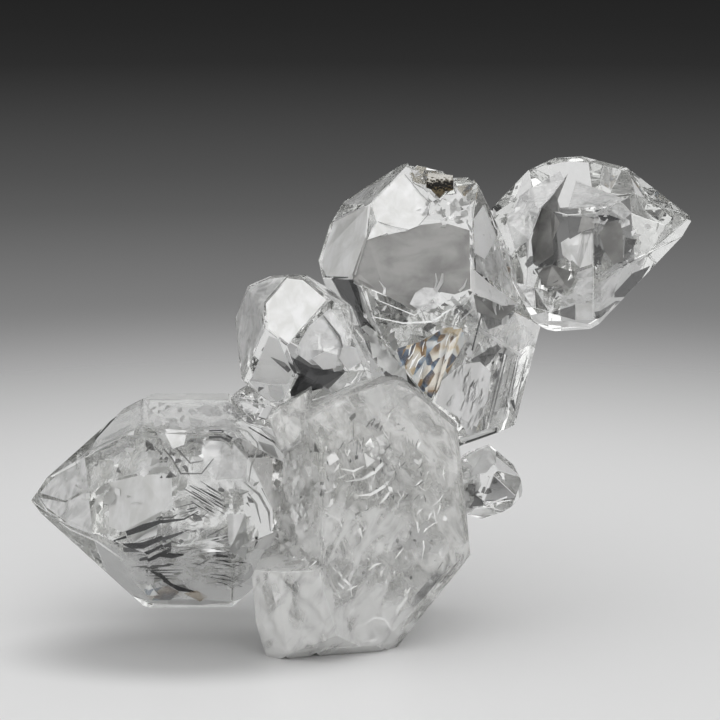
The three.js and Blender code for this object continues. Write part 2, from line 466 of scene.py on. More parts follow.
# ---- lines of sight
@dataclass
class Sight:
    """Lines of sight from the front, on which everything inside the crystals is laid out.

    A spot is [across, up] in millimetres, where its line of sight crosses the upright plane
    through the target. A ray of light along that line bends at the crystal's skin, and the
    feature lies on the bent ray, so that it is seen at its spot from whatever depth.
    """

    skin: Skin
    crystals: tuple[str, ...] = ()
    elevation: float = 12.0
    distance: float = 375.0
    target_height: float = 34.7
    deepest: float = 0.8          # share of the crystal's thickness that a feature may lie deep
    start_mm: float = 0.02        # how far under the skin a bent ray starts
    lost_mm: float = 0.3          # the greatest depth where a bent ray meets no far side
    steps: int = 16               # the most moves of a stray spot
    step: float = 0.15            # share of the way that each move takes it

    def __post_init__(self) -> None:
        """Work out the eye, the target and the directions across and up."""
        tilt = math.radians(self.elevation)
        self.target = (SHIFT + [0.0, 0.0, self.target_height]) * MM
        self.across = np.array([1.0, 0.0, 0.0])
        self.up = np.array([0.0, math.sin(tilt), math.cos(tilt)])
        self.eye = self.target + np.array([0.0, -math.cos(tilt), math.sin(tilt)]) * self.distance * MM

    def into(self, *crystals: str) -> Sight:
        """The same sight, for the named crystals alone."""
        return replace(self, crystals=crystals)

    def look(self, spots: Array) -> tuple[Array, Array, Array]:
        """Look along the spots' lines.

        Args:
            spots: [across, up] in millimetres, one per row.

        Returns:
            Unit rays, distances to the skin, and triangle numbers.
        """
        points = self.target + (spots[:, :1] * self.across + spots[:, 1:] * self.up) * MM
        rays = points - self.eye
        rays = rays / np.linalg.norm(rays, axis=1, keepdims=True)
        far, met = self.skin.meet(np.broadcast_to(self.eye, rays.shape), rays)
        return rays, far, met

    def owners(self, spots: Array) -> Array:
        """The number of the crystal seen at each spot, or -1 off this sight's crystals."""
        _, far, met = self.look(spots)
        seen = self.skin.owners[met]
        own = np.isfinite(far) & np.isin(seen, [NAMES.index(name) for name in self.crystals])
        return np.where(own, seen, -1)

    def covers(self, spots: Array) -> bool:
        """Whether all the spots are on one of this sight's crystals."""
        seen = self.owners(spots)
        return bool(seen[0] >= 0 and (seen == seen[0]).all())

    def gathered(self, spots: Array) -> Array:
        """Move stray spots towards the middle of those on the crystal that has most of them.

        Args:
            spots: [across, up] in millimetres, one per row.

        Returns:
            The spots, with the stray ones moved.
        """
        seen = self.owners(spots)
        if (seen < 0).all():
            return spots
        most = np.bincount(seen[seen >= 0]).argmax()
        middle = spots[seen == most].mean(axis=0)
        moved = spots.copy()
        off = np.flatnonzero(seen != most)
        for _ in range(self.steps):
            if not len(off):
                break
            moved[off] += (middle - moved[off]) * self.step
            off = off[self.owners(moved[off]) != most]
        return moved

    def under(self, spots: Array, depth: Array | float) -> Array:
        """Points inside the crystals that are seen at the spots.

        The bent ray follows Snell's law in vector form: with the ratio k of the two
        speeds and the cosine c of the angle at the skin, it is k ray + (k c - c') normal,
        where c' is the cosine inside. No point is deeper than a share of the way through.

        Args:
            spots: [across, up] in millimetres, one per row.
            depth: millimetres along the bent ray, one for all or one per spot.

        Returns:
            Points in metres, one per row.
        """
        rays, far, met = self.look(spots)
        normals = self.skin.normals[met]
        far = np.where(np.isfinite(far), far, self.distance * MM)
        cosine = -np.einsum("rk,rk->r", rays, normals)[:, None]
        ratio = 1.0 / QUARTZ_IOR
        inside = np.sqrt(np.maximum(1.0 - ratio ** 2 * (1.0 - cosine ** 2), 0.0))
        bent = ratio * rays + (ratio * cosine - inside) * normals
        entry = self.eye + rays * far[:, None]
        through, _ = self.skin.meet(entry + bent * self.start_mm * MM, bent)
        most = np.where(np.isfinite(through), through * self.deepest, self.lost_mm * MM)
        return entry + bent * np.minimum(np.asarray(depth, float) * MM, most)[:, None]


# ---- shapes laid out on the sight
@dataclass
class Form:
    """Vertices in metres and the faces between them."""

    points: Array
    faces: list[tuple[int, ...]]


def leaning(spots: Array, depth: float, lean: Pair, least: float) -> Array:
    """The depths of a leaning plane.

    Args:
        spots: [across, up] in millimetres, one per row.
        depth: the depth at their middle.
        lean: what each millimetre across and up from the middle adds to it.
        least: the least depth.

    Returns:
        The depth at each spot.
    """
    return np.maximum(depth + (spots - spots.mean(axis=0)) @ np.array(lean), least)


@dataclass(frozen=True)
class Pane:
    """A flat splinter of a plane, bounded by an outline."""

    outline: Spots
    depth: float = 0.6
    lean: Pair = (0.0, 0.3)
    thickness: float = 0.05
    strewn: bool = False          # a strewn one is left out where it would stray off its crystal
    least: float = 0.2            # its least depth

    def form(self, sight: Sight) -> Form | None:
        """The outline carried inwards by the thickness, along the bent rays.

        The shoelace sum tells which way round the outline runs.

        Args:
            sight: the lines of sight that place it.

        Returns:
            The solid, or nothing for one that strays.
        """
        spots = np.array(self.outline, float).reshape(-1, 2)
        if self.strewn and not sight.covers(spots):
            return None
        spots = sight.gathered(spots)
        turn = np.sum(spots[:, 0] * np.roll(spots[:, 1], -1) - np.roll(spots[:, 0], -1) * spots[:, 1])
        if turn < 0:
            spots = spots[::-1]
        count = len(spots)
        depth = leaning(spots, self.depth, self.lean, self.least)
        points = np.concatenate([sight.under(spots, depth), sight.under(spots, depth + self.thickness)])
        sides = [(k, count + k, count + (k + 1) % count, (k + 1) % count) for k in range(count)]
        return Form(points, [tuple(range(count)), tuple(range(2 * count - 1, count - 1, -1)), *sides])


@dataclass(frozen=True)
class Streak:
    """A long narrow splinter along a path, with a width at each point; it leans as a pane does."""

    path: Spots
    width: tuple[float, ...] | float = 0.3
    depth: float = 0.6
    lean: Pair = (0.0, 0.35)
    thickness: float = 0.05
    strewn: bool = False
    least: float = 0.15

    def form(self, sight: Sight) -> Form | None:
        """Each path point is moved half a width to both sides, square to the path.

        Args:
            sight: the lines of sight that place it.

        Returns:
            The solid, or nothing for one that strays.
        """
        path = np.array(self.path, float).reshape(-1, 2)
        along = np.gradient(path, axis=0)
        along /= np.linalg.norm(along, axis=1, keepdims=True)
        half = np.broadcast_to(np.asarray(self.width, float), (len(path),))[:, None] / 2
        side = np.stack([-along[:, 1], along[:, 0]], axis=1) * half
        rim = np.stack([path - side, path + side], axis=1).reshape(-1, 2)
        if self.strewn and not sight.covers(rim):
            return None
        rim = sight.gathered(rim)
        depth = leaning(rim, self.depth, self.lean, self.least)
        return film(sight, rim, depth, self.thickness, (len(path), 2))


@dataclass(frozen=True)
class Sheet:
    """A broad waving film, such as a healed fracture.

    Over s and t from -1 to 1 its spot is the centre plus s and t times its two half
    widths, turned by an angle, pulled in towards its corners, and its depth is a plane
    plus a sum of sine waves in s and t.
    """

    centre: Pair
    half: Pair
    turn: float = 0.0
    depth: float = 4.0
    lean: Pair = FLAT
    wave: float = 0.5
    seed: int = 1
    thickness: float = 0.05
    points: int = 25              # along each side
    ragged: float = 0.10          # how much its rim goes in and out
    lobes: int = 5                # how often it does
    waves: int = 4
    rates: Pair = (1.0, 5.0)      # the least and the greatest rate of a wave
    least: float = 0.3            # its least depth

    def form(self, sight: Sight) -> Form:
        """The film's grid in front and behind, stitched along the rim.

        Args:
            sight: the lines of sight that place it.

        Returns:
            The solid.
        """
        rng = np.random.default_rng(self.seed)
        line = np.linspace(-1, 1, self.points)
        s, t = np.meshgrid(line, line, indexing="ij")
        pull_s, pull_t = s * np.sqrt(1 - t ** 2 / 2), t * np.sqrt(1 - s ** 2 / 2)
        angle = math.radians(self.turn)
        ragged = 1 + self.ragged * np.sin(self.lobes * np.arctan2(t, s) + rng.uniform(0, FULL_TURN))
        across = self.half[0] * pull_s * ragged
        rise = self.half[1] * pull_t * ragged
        spots = np.stack([self.centre[0] + across * math.cos(angle) - rise * math.sin(angle),
                          self.centre[1] + across * math.sin(angle) + rise * math.cos(angle)], axis=-1)
        depth = self.depth + self.lean[0] * s + self.lean[1] * t
        for _ in range(self.waves):
            way = rng.uniform(*self.rates) * s + rng.uniform(*self.rates) * t
            depth = depth + self.wave / 2 * np.sin(way + rng.uniform(0, FULL_TURN))
        flat = sight.gathered(spots.reshape(-1, 2))
        return film(sight, flat, np.maximum(depth, self.least).ravel(), self.thickness, s.shape)


Feature = Pane | Streak | Sheet
Features = tuple[Feature, ...]


def film(sight: Sight, spots: Array, depth: Array, thickness: float, shape: tuple[int, int]) -> Form:
    """Close a grid of spots at two depths into one thin solid.

    Args:
        sight: the lines of sight that place it.
        spots: [across, up] in millimetres, one per row, row of the grid by row.
        depth: the near side's depth at each.
        thickness: how much deeper the far side is.
        shape: the grid's rows and columns.

    Returns:
        The solid: both sides, and a wall of quads round their rims.
    """
    index = np.arange(len(spots)).reshape(shape)
    near = np.stack([index[:-1, :-1], index[1:, :-1], index[1:, 1:], index[:-1, 1:]], axis=-1).reshape(-1, 4)
    far = near[:, ::-1] + index.size
    rim = np.concatenate([index[:, 0], index[-1, 1:], index[-2::-1, -1], index[0, -2:0:-1]])
    following = np.roll(rim, -1)
    wall = np.stack([following, rim, rim + index.size, following + index.size], axis=-1)
    points = np.concatenate([sight.under(spots, depth), sight.under(spots, depth + thickness)])
    return Form(points, [tuple(face) for face in np.concatenate([near, far, wall]).tolist()])


# How unevenly strewn splinters and shards are made.
GAP_STRAY = 0.35                  # of a splinter from its place in a bundle, in gaps
END_STRAY = 0.12                  # of its ends, in millimetres
TRIM = 0.35                       # the most that an end is cut off, as a share of the length
BUNDLE_TAPER = np.array([0.4, 1.0, 0.3])     # shares of the width along a splinter of a bundle
TAPER = np.array([0.35, 1.0, 0.25])          # and along any other
BOW = 0.25                        # of a splinter's middle, as a share of half its length
CORNERS = (3, 6)                  # from and below, on a shard
CORNER_STRAY = 0.3                # of a corner's angle, in the step from corner to corner
LEAST_REACH = 0.55                # of a corner, as a share of the shard's size
MOST_LEAN = 0.8


def bundle(first: Spots, last: Spots, count: int, width: Pair, depth: float, seed: int) -> list[Streak]:
    """Straight parallel splinters between two given ones.

    Args:
        first: start and end spot of the first splinter.
        last: start and end spot of the last.
        count: how many there are.
        width: the least and the greatest width.
        depth: depth in millimetres.
        seed: seed of the small differences in length and width.

    Returns:
        The splinters, in order.
    """
    rng = np.random.default_rng(seed)
    begin, end = np.array([first, last], float).reshape(2, 2, 2)
    found = []
    for share in np.linspace(0, 1, count):
        line = begin + (end - begin) * min(max(share + rng.normal(0, GAP_STRAY) / count, 0.0), 1.0)
        line = line + rng.normal(0, END_STRAY, (2, 2))
        trim = rng.uniform(0, TRIM, 2)
        span = line[1] - line[0]
        path = np.concatenate([line[0] + span * trim[0], line[0] + span / 2, line[1] - span * trim[1]])
        found.append(Streak(tuple(path), tuple(rng.uniform(*width) * BUNDLE_TAPER), depth, strewn=True))
    return found


def spot_in(centre: Pair, half: Pair, rng: np.random.Generator) -> Array:
    """A random spot in an oval.

    Args:
        centre: the oval's middle.
        half: its half widths.
        rng: the source of the random numbers.

    Returns:
        The spot. The root of an evenly drawn share makes the rim as dense as the middle.
    """
    away, angle = math.sqrt(rng.uniform()), rng.uniform(0, 2 * math.pi)
    return np.array(centre) + np.array(half) * away * np.array([math.cos(angle), math.sin(angle)])


def splinters(centre: Pair, half: Pair, count: int, length: Pair, width: Pair, angle: Pair, depth: Pair,
              seed: int) -> list[Streak]:
    """Splinters strewn through an oval.

    Args:
        centre: the oval's middle.
        half: its half widths.
        count: how many there are.
        length: least and greatest length.
        width: least and greatest width.
        angle: least and greatest angle from across, in degrees.
        depth: least and greatest depth.
        seed: seed of the strewing.

    Returns:
        The splinters.
    """
    rng = np.random.default_rng(seed)
    found = []
    for _ in range(count):
        middle = spot_in(centre, half, rng)
        way = math.radians(rng.uniform(*angle))
        reach = np.array([math.cos(way), math.sin(way)]) * rng.uniform(*length) / 2
        bow = np.array([-reach[1], reach[0]]) * rng.uniform(-BOW, BOW)
        path = np.concatenate([middle - reach, middle + bow, middle + reach])
        widths = tuple(rng.uniform(*width) * TAPER)
        found.append(Streak(tuple(path), widths, float(rng.uniform(*depth)), strewn=True))
    return found


def shards(centre: Pair, half: Pair, count: int, size: Pair, stretch: float, angle: Pair, depth: Pair,
           seed: int) -> list[Pane]:
    """Small many-cornered cleavage faces strewn through an oval.

    A shard's corners lie at rising angles round its middle, a random share of its size
    away, stretched along its own direction.

    Args:
        centre: the oval's middle.
        half: its half widths.
        count: how many there are.
        size: least and greatest half size.
        stretch: how many times longer than wide they are at most.
        angle: least and greatest direction from across, in degrees.
        depth: least and greatest depth.
        seed: seed of the strewing.

    Returns:
        The shards.
    """
    rng = np.random.default_rng(seed)
    found = []
    for _ in range(count):
        middle = spot_in(centre, half, rng)
        corners = int(rng.integers(*CORNERS))
        stray = rng.uniform(-CORNER_STRAY, CORNER_STRAY, corners)
        turns = (np.arange(corners) + stray) * 2 * math.pi / corners
        reach = rng.uniform(*size) * rng.uniform(LEAST_REACH, 1.0, corners)
        longer = rng.uniform(1.0, stretch)
        way = math.radians(rng.uniform(*angle))
        shape = np.stack([np.cos(turns) * reach * longer, np.sin(turns) * reach], axis=1)
        turned = shape @ np.array([[math.cos(way), math.sin(way)], [-math.sin(way), math.cos(way)]])
        lean = tuple(rng.uniform(-MOST_LEAN, MOST_LEAN, 2))
        found.append(Pane(tuple((middle + turned).ravel()), float(rng.uniform(*depth)), lean, strewn=True))
    return found


def coordinates(mesh: Mesh) -> Array:
    """A mesh's points, one per row."""
    points = np.empty(len(mesh.vertices) * 3)
    mesh.vertices.foreach_get("co", points)
    return points.reshape(-1, 3)


def put(name: str, mesh: Mesh) -> bpy.types.Object:
    """Add a mesh to the scene as a piece of the object, riding on its only body.

    Args:
        name: the piece's name.
        mesh: its mesh.

    Returns:
        The piece.
    """
    piece = bpy.data.objects.new(name, mesh)
    bpy.context.scene.collection.objects.link(piece)
    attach(piece, BODY)
    log.info("%s: %d faces", name, len(mesh.polygons))
    return piece


def make_piece(name: str, forms: list[Form], material: Material) -> None:
    """Join forms into one piece.

    Args:
        name: the piece's name.
        forms: its parts.
        material: its finish.
    """
    starts = np.cumsum([0] + [len(form.points) for form in forms]).tolist()
    faces = [tuple(k + start for k in face) for form, start in zip(forms, starts) for face in form.faces]
    mesh = bpy.data.meshes.new(name)
    mesh.from_pydata(np.concatenate([form.points for form in forms]).tolist(), [], faces)
    mesh.validate()
    mesh.materials.append(material)
    put(name, mesh)


# ---- the studio
@dataclass
class Studio:
    """A pale floor that fades out and has a painted shadow, a grey backdrop and one big soft light overhead.

    Tones of the backdrop and the room go by elevation in degrees.
    """

    floor_core: float = 0.002     # metres, the innermost ring
    floor_radius: float = 0.4     # metres
    floor_grid: tuple[int, int] = (24, 96)
    floor_fade: Pair = (0.05, 0.22)      # metres from the middle
    floor_roughness: float = 0.42
    floor_colour: str = "e4e4e4"
    # the painted shadow on the floor: its colour, middle and half widths in millimetres
    painted_shadow_colour: str = "b4b4b4"
    shade_middle: Triple = (-23.0, -17.0, 0.0)
    painted_shadow_half: Triple = (26.0, 15.0, 10.0)
    painted_shadow_core: float = 0.35      # share of the painted shadow that is full
    backdrop: tuple[tuple[float, str], ...] = (
        (-90, "dbdbdb"), (-20, "dbdbdb"), (-16.5, "c7c7c7"), (-12.7, "979797"), (-8.9, "575757"),
        (-6.4, "2e2e2e"), (-5.2, "232323"), (0, "222222"), (10, "4a4a4a"), (20, "8c8c8c"), (35, "b8b8b8"),
        (60, "d0d0d0"), (90, "d8d8d8"))
    room: tuple[tuple[float, str], ...] = (
        (-90, "dedede"), (-16, "dedede"), (-6, "dedede"), (0, "dedede"), (14, "e2e2e2"), (35, "eaeaea"),
        (60, "f2f2f2"), (90, "f6f6f6"))
    backdrop_edge: Pair = (0.45, 0.85)
    light: float = 1.3
    light_start: Pair = (5, 40)
    light_end: Pair = (105, 120)
    light_half: Pair = (34, 50)
    lens_mm: float = 150.0
    film_mm: float = 36.0
    nearest: float = 0.01         # metres from the lens
    bounces: tuple[tuple[str, int], ...] = (
        ("max_bounces", 20), ("diffuse_bounces", 8), ("glossy_bounces", 16), ("transmission_bounces", 20),
        ("transparent_max_bounces", 20))

    def build(self, sight: Sight) -> None:
        """Make the floor, the world and the camera."""
        self.floor()
        self.world()
        self.camera(sight)

    def floor(self) -> None:
        """A thin round sheet of matt board: rings of points, radius by angle, at height 0."""
        rings, spokes = self.floor_grid
        radius, angle = np.meshgrid(np.linspace(self.floor_core, self.floor_radius, rings),
                                    np.linspace(0, 2 * math.pi, spokes, endpoint=False), indexing="ij")
        points = np.stack([radius * np.cos(angle), radius * np.sin(angle), np.zeros_like(radius)], axis=-1)
        index = np.arange(radius.size).reshape(radius.shape)
        after = np.roll(index, -1, axis=1)
        quads = np.stack([index[:-1], index[1:], after[1:], after[:-1]], axis=-1).reshape(-1, 4)
        mesh = bpy.data.meshes.new("studio_floor")
        mesh.from_pydata(points.reshape(-1, 3).tolist(), [], [*quads.tolist(), index[0].tolist()])
        mesh.materials.append(self.board())
        floor = bpy.data.objects.new("studio_floor", mesh)
        bpy.context.scene.collection.objects.link(floor)

    def board(self) -> Material:
        """Make the floor's material: a shadow painted darker in an oval under the left crystal, and fading
        out far away.
        """
        material, tree = new_material("matt_white_board_with_painted_shadow")
        half = tuple(part * MM for part in self.painted_shadow_half)
        middle = tuple(part * MM for part in self.shade_middle)
        # distance from the painted shadow's middle, in half widths, and from the floor's middle
        painted_shadow_distance, reach = (
            add_node(tree, "VectorMath", {"operation": "LENGTH"}, {0: vector}).outputs["Value"]
            for vector in (cells(tree, half, middle=middle), add_node(tree, "TexCoord").outputs["Object"]))
        tone = add_node(tree, "ValToRGB", None, {0: painted_shadow_distance},
                        [(0.0, self.painted_shadow_colour), (self.painted_shadow_core, self.painted_shadow_colour),
                         (1.0, self.floor_colour)])
        tone.color_ramp.interpolation = "EASE"
        fade = add_node(tree, "MapRange", SMOOTH,
                        {0: reach, 1: self.floor_fade[0], 2: self.floor_fade[1], 3: 1.0, 4: 0.0})
        surface(tree, {"Base Color": tone.outputs[0], "Roughness": self.floor_roughness,
                       "Alpha": fade.outputs[0]})
        return material

    def world(self) -> None:
        """The backdrop's tone by elevation, and the overhead light as a bright patch of sky.

        The patch is bounded by the angle round the across axis, from the front horizon up
        and over, and by how far a direction leans to the sides.
        """
        world = bpy.data.worlds.new("grey_studio")
        bpy.context.scene.world = world
        world.use_nodes = True
        tree = world.node_tree
        tree.nodes.clear()
        way = add_node(tree, "SeparateXYZ", None, {0: add_node(tree, "TexCoord").outputs["Generated"]})
        rise = add_node(tree, "Math", {"operation": "ARCSINE"}, {0: way.outputs["Z"]})
        share = add_node(tree, "MapRange", None, {0: rise.outputs[0], 1: -math.pi / 2, 2: math.pi / 2})
        behind, room = (add_node(tree, "ValToRGB", None, {0: share.outputs[0]},
                                 [((angle + 90) / 180, code) for angle, code in tones])
                        for tones in (self.backdrop, self.room))
        front = add_node(tree, "Math", {"operation": "MULTIPLY"}, {0: way.outputs["Y"], 1: -1.0})
        turn = add_node(tree, "Math", {"operation": "ARCTAN2"}, {0: way.outputs["Z"], 1: front.outputs[0]})
        side = add_node(tree, "Math", {"operation": "ABSOLUTE"}, {0: way.outputs["X"]})
        aback, starts, ends, sides = (
            add_node(tree, "MapRange", SMOOTH, {0: at, 1: edge[0], 2: edge[1], 3: 1.0 - to, 4: to}).outputs[0]
            for at, edge, to in ((way.outputs["Y"], self.backdrop_edge, 1.0),
                                 (turn.outputs[0], np.radians(self.light_start), 1.0),
                                 (turn.outputs[0], np.radians(self.light_end), 0.0),
                                 (side.outputs[0], np.sin(np.radians(self.light_half)), 0.0)))
        walls = add_node(tree, "Mix", {"data_type": "RGBA"},
                         {0: aback, 6: room.outputs[0], 7: behind.outputs[0]})
        both = add_node(tree, "Math", {"operation": "MULTIPLY"}, {0: starts, 1: ends})
        lit = (self.light, self.light, self.light, 1.0)
        patch = add_node(tree, "Math", {"operation": "MULTIPLY"}, {0: both.outputs[0], 1: sides})
        sky = add_node(tree, "Mix", {"data_type": "RGBA"},
                       {0: patch.outputs[0], 6: walls.outputs[2], 7: lit})
        glow = add_node(tree, "Background", None, {0: sky.outputs[2]})
        add_node(tree, "OutputWorld", None, {0: glow.outputs[0]})

    def camera(self, sight: Sight) -> None:
        """Put a long lens on the sight's line, looking at its target, and set the light's bounces.

        Args:
            sight: the lines of sight.
        """
        lens = bpy.data.cameras.new("studio_camera")
        lens.lens = self.lens_mm
        lens.sensor_width = self.film_mm
        lens.clip_start = self.nearest
        camera = bpy.data.objects.new("studio_camera", lens)
        camera.location = Vector(sight.eye)
        camera.rotation_euler = (math.pi / 2 - math.radians(sight.elevation), 0.0, 0.0)
        scene = bpy.context.scene
        scene.collection.objects.link(camera)
        scene.camera = camera
        scene.view_settings.view_transform = "Standard"
        scene.cycles.use_denoising = True
        for name, most in self.bounces:
            setattr(scene.cycles, name, most)


# ---- the crystals' skin
@dataclass
class ClearSkin:
    """The outside of all the crystals in one closed solid, with fine worn edges."""

    edge_mm: float = 0.09
    weld_mm: float = 0.02
    flat_degrees: float = 0.7
    least_edge_mm: float = 0.5
    least_turn_degrees: float = 4.0

    def build(self, node: bpy.types.Object) -> None:
        """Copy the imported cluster, round its edges and dress each crystal.

        Args:
            node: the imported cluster, which the new piece replaces.
        """
        mesh = node.data.copy()
        mesh.name = "clear_cluster"
        work = bmesh.new()
        work.from_mesh(mesh)
        bmesh.ops.remove_doubles(work, verts=work.verts, dist=self.weld_mm * MM)
        bmesh.ops.dissolve_limit(work, angle_limit=math.radians(self.flat_degrees), verts=work.verts,
                                 edges=work.edges)
        worn = [edge for edge in work.edges
                if edge.is_manifold and edge.calc_face_angle(0.0) > math.radians(self.least_turn_degrees)
                and edge.calc_length() > self.least_edge_mm * MM]
        bmesh.ops.bevel(work, geom=worn, offset=self.edge_mm * MM, offset_type="OFFSET", segments=2,
                        profile=0.5, affect="EDGES", clamp_overlap=False)
        bmesh.ops.triangulate(work, faces=[face for face in work.faces if len(face.verts) > 4])
        log.info("clear_cluster: %d open edges", sum(not edge.is_manifold for edge in work.edges))
        work.to_mesh(mesh)
        work.free()
        mesh.materials.clear()
        mesh.materials.append(ClearQuartz().build())
        mesh.materials.append(FrostedQuartz().build())
        centres = np.empty(len(mesh.polygons) * 3)
        mesh.polygons.foreach_get("center", centres)
        frosted = np.array([place.frosted for place in CRYSTALS.values()], np.int32)
        mesh.polygons.foreach_set("material_index", frosted[nearest_crystal(centres.reshape(-1, 3))])
        mesh.polygons.foreach_set("use_smooth", np.zeros(len(mesh.polygons), bool))
        piece = put("clear_cluster", mesh)
        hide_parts("crystal_cluster")


def triangles_of(mesh: Mesh) -> Array:
    """A mesh's triangles as corner points, one triangle per row."""
    mesh.calc_loop_triangles()
    corners = np.empty(len(mesh.loop_triangles) * 3, np.int32)
    mesh.loop_triangles.foreach_get("vertices", corners)
    return coordinates(mesh)[corners.reshape(-1, 3)]


# ---- the milky heart
@dataclass
class MilkyHeart:
    """Cloud on cloud inside the frosted crystals: nested shells of their own shape."""

    shares: dict[str, tuple[float, ...]] = field(default_factory=lambda: {
        "front": (0.95, 0.8, 0.6, 0.4), "lobe": (0.94, 0.7), "corner": (0.9,)})
    wave: float = 0.07
    waves: int = 6
    rates: Pair = (4, 14)         # the least and the greatest rate of a wave
    outermost: float = 0.96       # the greatest share, so that no shell comes through the skin
    weld_mm: float = 0.2
    cuts: int = 5
    pulls: int = 3                # how often faces that come out are drawn in
    spare: float = 0.98           # how far in, as a share of the room
    batch: int = 1000             # rays that meet the skin at once
    cover: Pair = (-0.26, 0.4)    # least cover before the first shell, and what each adds
    turn: Pair = (-50, 24)        # the wisps' turn in degrees before the first shell, and what each adds

    def build(self, skin: Skin) -> None:
        """Make the shells of each frosted crystal.

        Args:
            skin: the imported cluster's skin.
        """
        for name, shares in self.shares.items():
            corners = skin.triangles[skin.owners == NAMES.index(name)].reshape(-1, 3)
            middle = (corners.min(axis=0) + corners.max(axis=0)) / 2
            mesh, reach = self.hull(corners, middle, skin)
            for number, share in enumerate(shares, start=1):
                self.shell(f"milky_cloud_{name}_{number}", mesh, middle, reach, share, number)

    def hull(self, corners: Array, middle: Array, skin: Skin) -> tuple[Mesh, Array]:
        """The crystal's own shape as ways from its middle.

        The convex hull of the corners is cut finer, and its points are drawn in to the
        skin. A face whose middle would still come out pulls its three corners in.

        Args:
            corners: the crystal's corners.
            middle: where the directions start.
            skin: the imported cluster's skin.

        Returns:
            A mesh with the hull's faces, and the way from the middle to each of its points.
        """
        work = bmesh.new()
        for corner in corners:
            work.verts.new(corner)
        bmesh.ops.remove_doubles(work, verts=work.verts, dist=self.weld_mm * MM)
        hull = bmesh.ops.convex_hull(work, input=work.verts)
        inner = {part for part in hull["geom_interior"] + hull["geom_unused"]
                 if isinstance(part, bmesh.types.BMVert)}
        bmesh.ops.delete(work, geom=list(inner), context="VERTS")
        bmesh.ops.subdivide_edges(work, edges=work.edges, cuts=self.cuts, use_grid_fill=True)
        bmesh.ops.triangulate(work, faces=work.faces)
        bmesh.ops.recalc_face_normals(work, faces=work.faces)
        mesh = bpy.data.meshes.new("milky_hull")
        work.to_mesh(mesh)
        work.free()
        reach = coordinates(mesh) - middle
        reach = reach * np.minimum(self.room(reach, middle, skin), 1.0)[:, None]
        faces = np.array([tuple(face.vertices) for face in mesh.polygons])
        for _ in range(self.pulls):
            room = self.room(reach[faces].mean(axis=1), middle, skin)
            pull = np.ones(len(reach))
            np.minimum.at(pull, faces.ravel(), np.repeat(np.minimum(room * self.spare, 1.0), 3))
            reach = reach * pull[:, None]
        return mesh, reach

    def room(self, reach: Array, middle: Array, skin: Skin) -> Array:
        """How many times each way from the middle could be laid off before it meets the skin.

        Args:
            reach: the ways, one per row.
            middle: where they start.
            skin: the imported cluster's skin.

        Returns:
            One number per way.
        """
        length = np.linalg.norm(reach, axis=1)
        far = np.empty(len(reach))
        for part in np.array_split(np.arange(len(reach)), max(1, len(reach) // self.batch)):
            ways = reach[part] / length[part][:, None]
            far[part], _ = skin.meet(np.broadcast_to(middle, ways.shape), ways)
        return far / length

    def shell(self, name: str, hull: Mesh, middle: Array, reach: Array, share: float, number: int) -> None:
        """Make one shell: its share of each reach is swollen by sine waves of the direction.

        Args:
            name: the shell's name.
            hull: the mesh whose faces it takes.
            middle: the crystal's middle.
            reach: the way from there to the skin for each point of the mesh.
            share: the shell's share of that way.
            number: the shell's number, which also seeds its waves.
        """
        rng = np.random.default_rng(number)
        ways = reach / np.linalg.norm(reach, axis=1, keepdims=True)
        waves = np.zeros(len(ways))
        for _ in range(self.waves):
            way = rng.normal(size=3)
            rate = ways @ (way / np.linalg.norm(way)) * rng.uniform(*self.rates)
            waves += np.sin(rate + rng.uniform(0, FULL_TURN)) / self.waves
        swollen = np.minimum(share * (1 + self.wave * number * waves), self.outermost)
        mesh = hull.copy()
        mesh.name = name
        mesh.vertices.foreach_set("co", (middle + reach * swollen[:, None]).ravel())
        least = min(self.cover[1] * number + self.cover[0], 1.0)
        turn = (0, self.turn[1] * number + self.turn[0], 0)
        finish = Veil(name, "fffffe", 2.8, (0.8, 1, 1.7), turn, least, 1.0, 0.36, 0.66, metallic=0.0)
        mesh.materials.append(finish.build())
        put(name, mesh)


# ---- what is inside each crystal
@dataclass
class Inside:
    """What is seen inside one crystal. Each field that is named as a look holds its features."""

    name: str = ""
    crystals: tuple[str, ...] = ()

    def build(self, sight: Sight, looks: dict[Look, Material]) -> None:
        """Make one piece for each look, in the fields' order.

        Args:
            sight: the lines of sight that place the features.
            looks: the material of each look.
        """
        sight = sight.into(*self.crystals)
        for part in fields(self):
            look = Look.__members__.get(part.name.upper())
            if look:
                laid = (feature.form(sight) for feature in getattr(self, part.name))
                forms = [form for form in laid if form is not None]
                make_piece(f"{self.name}_{look.value}", forms, looks[look])


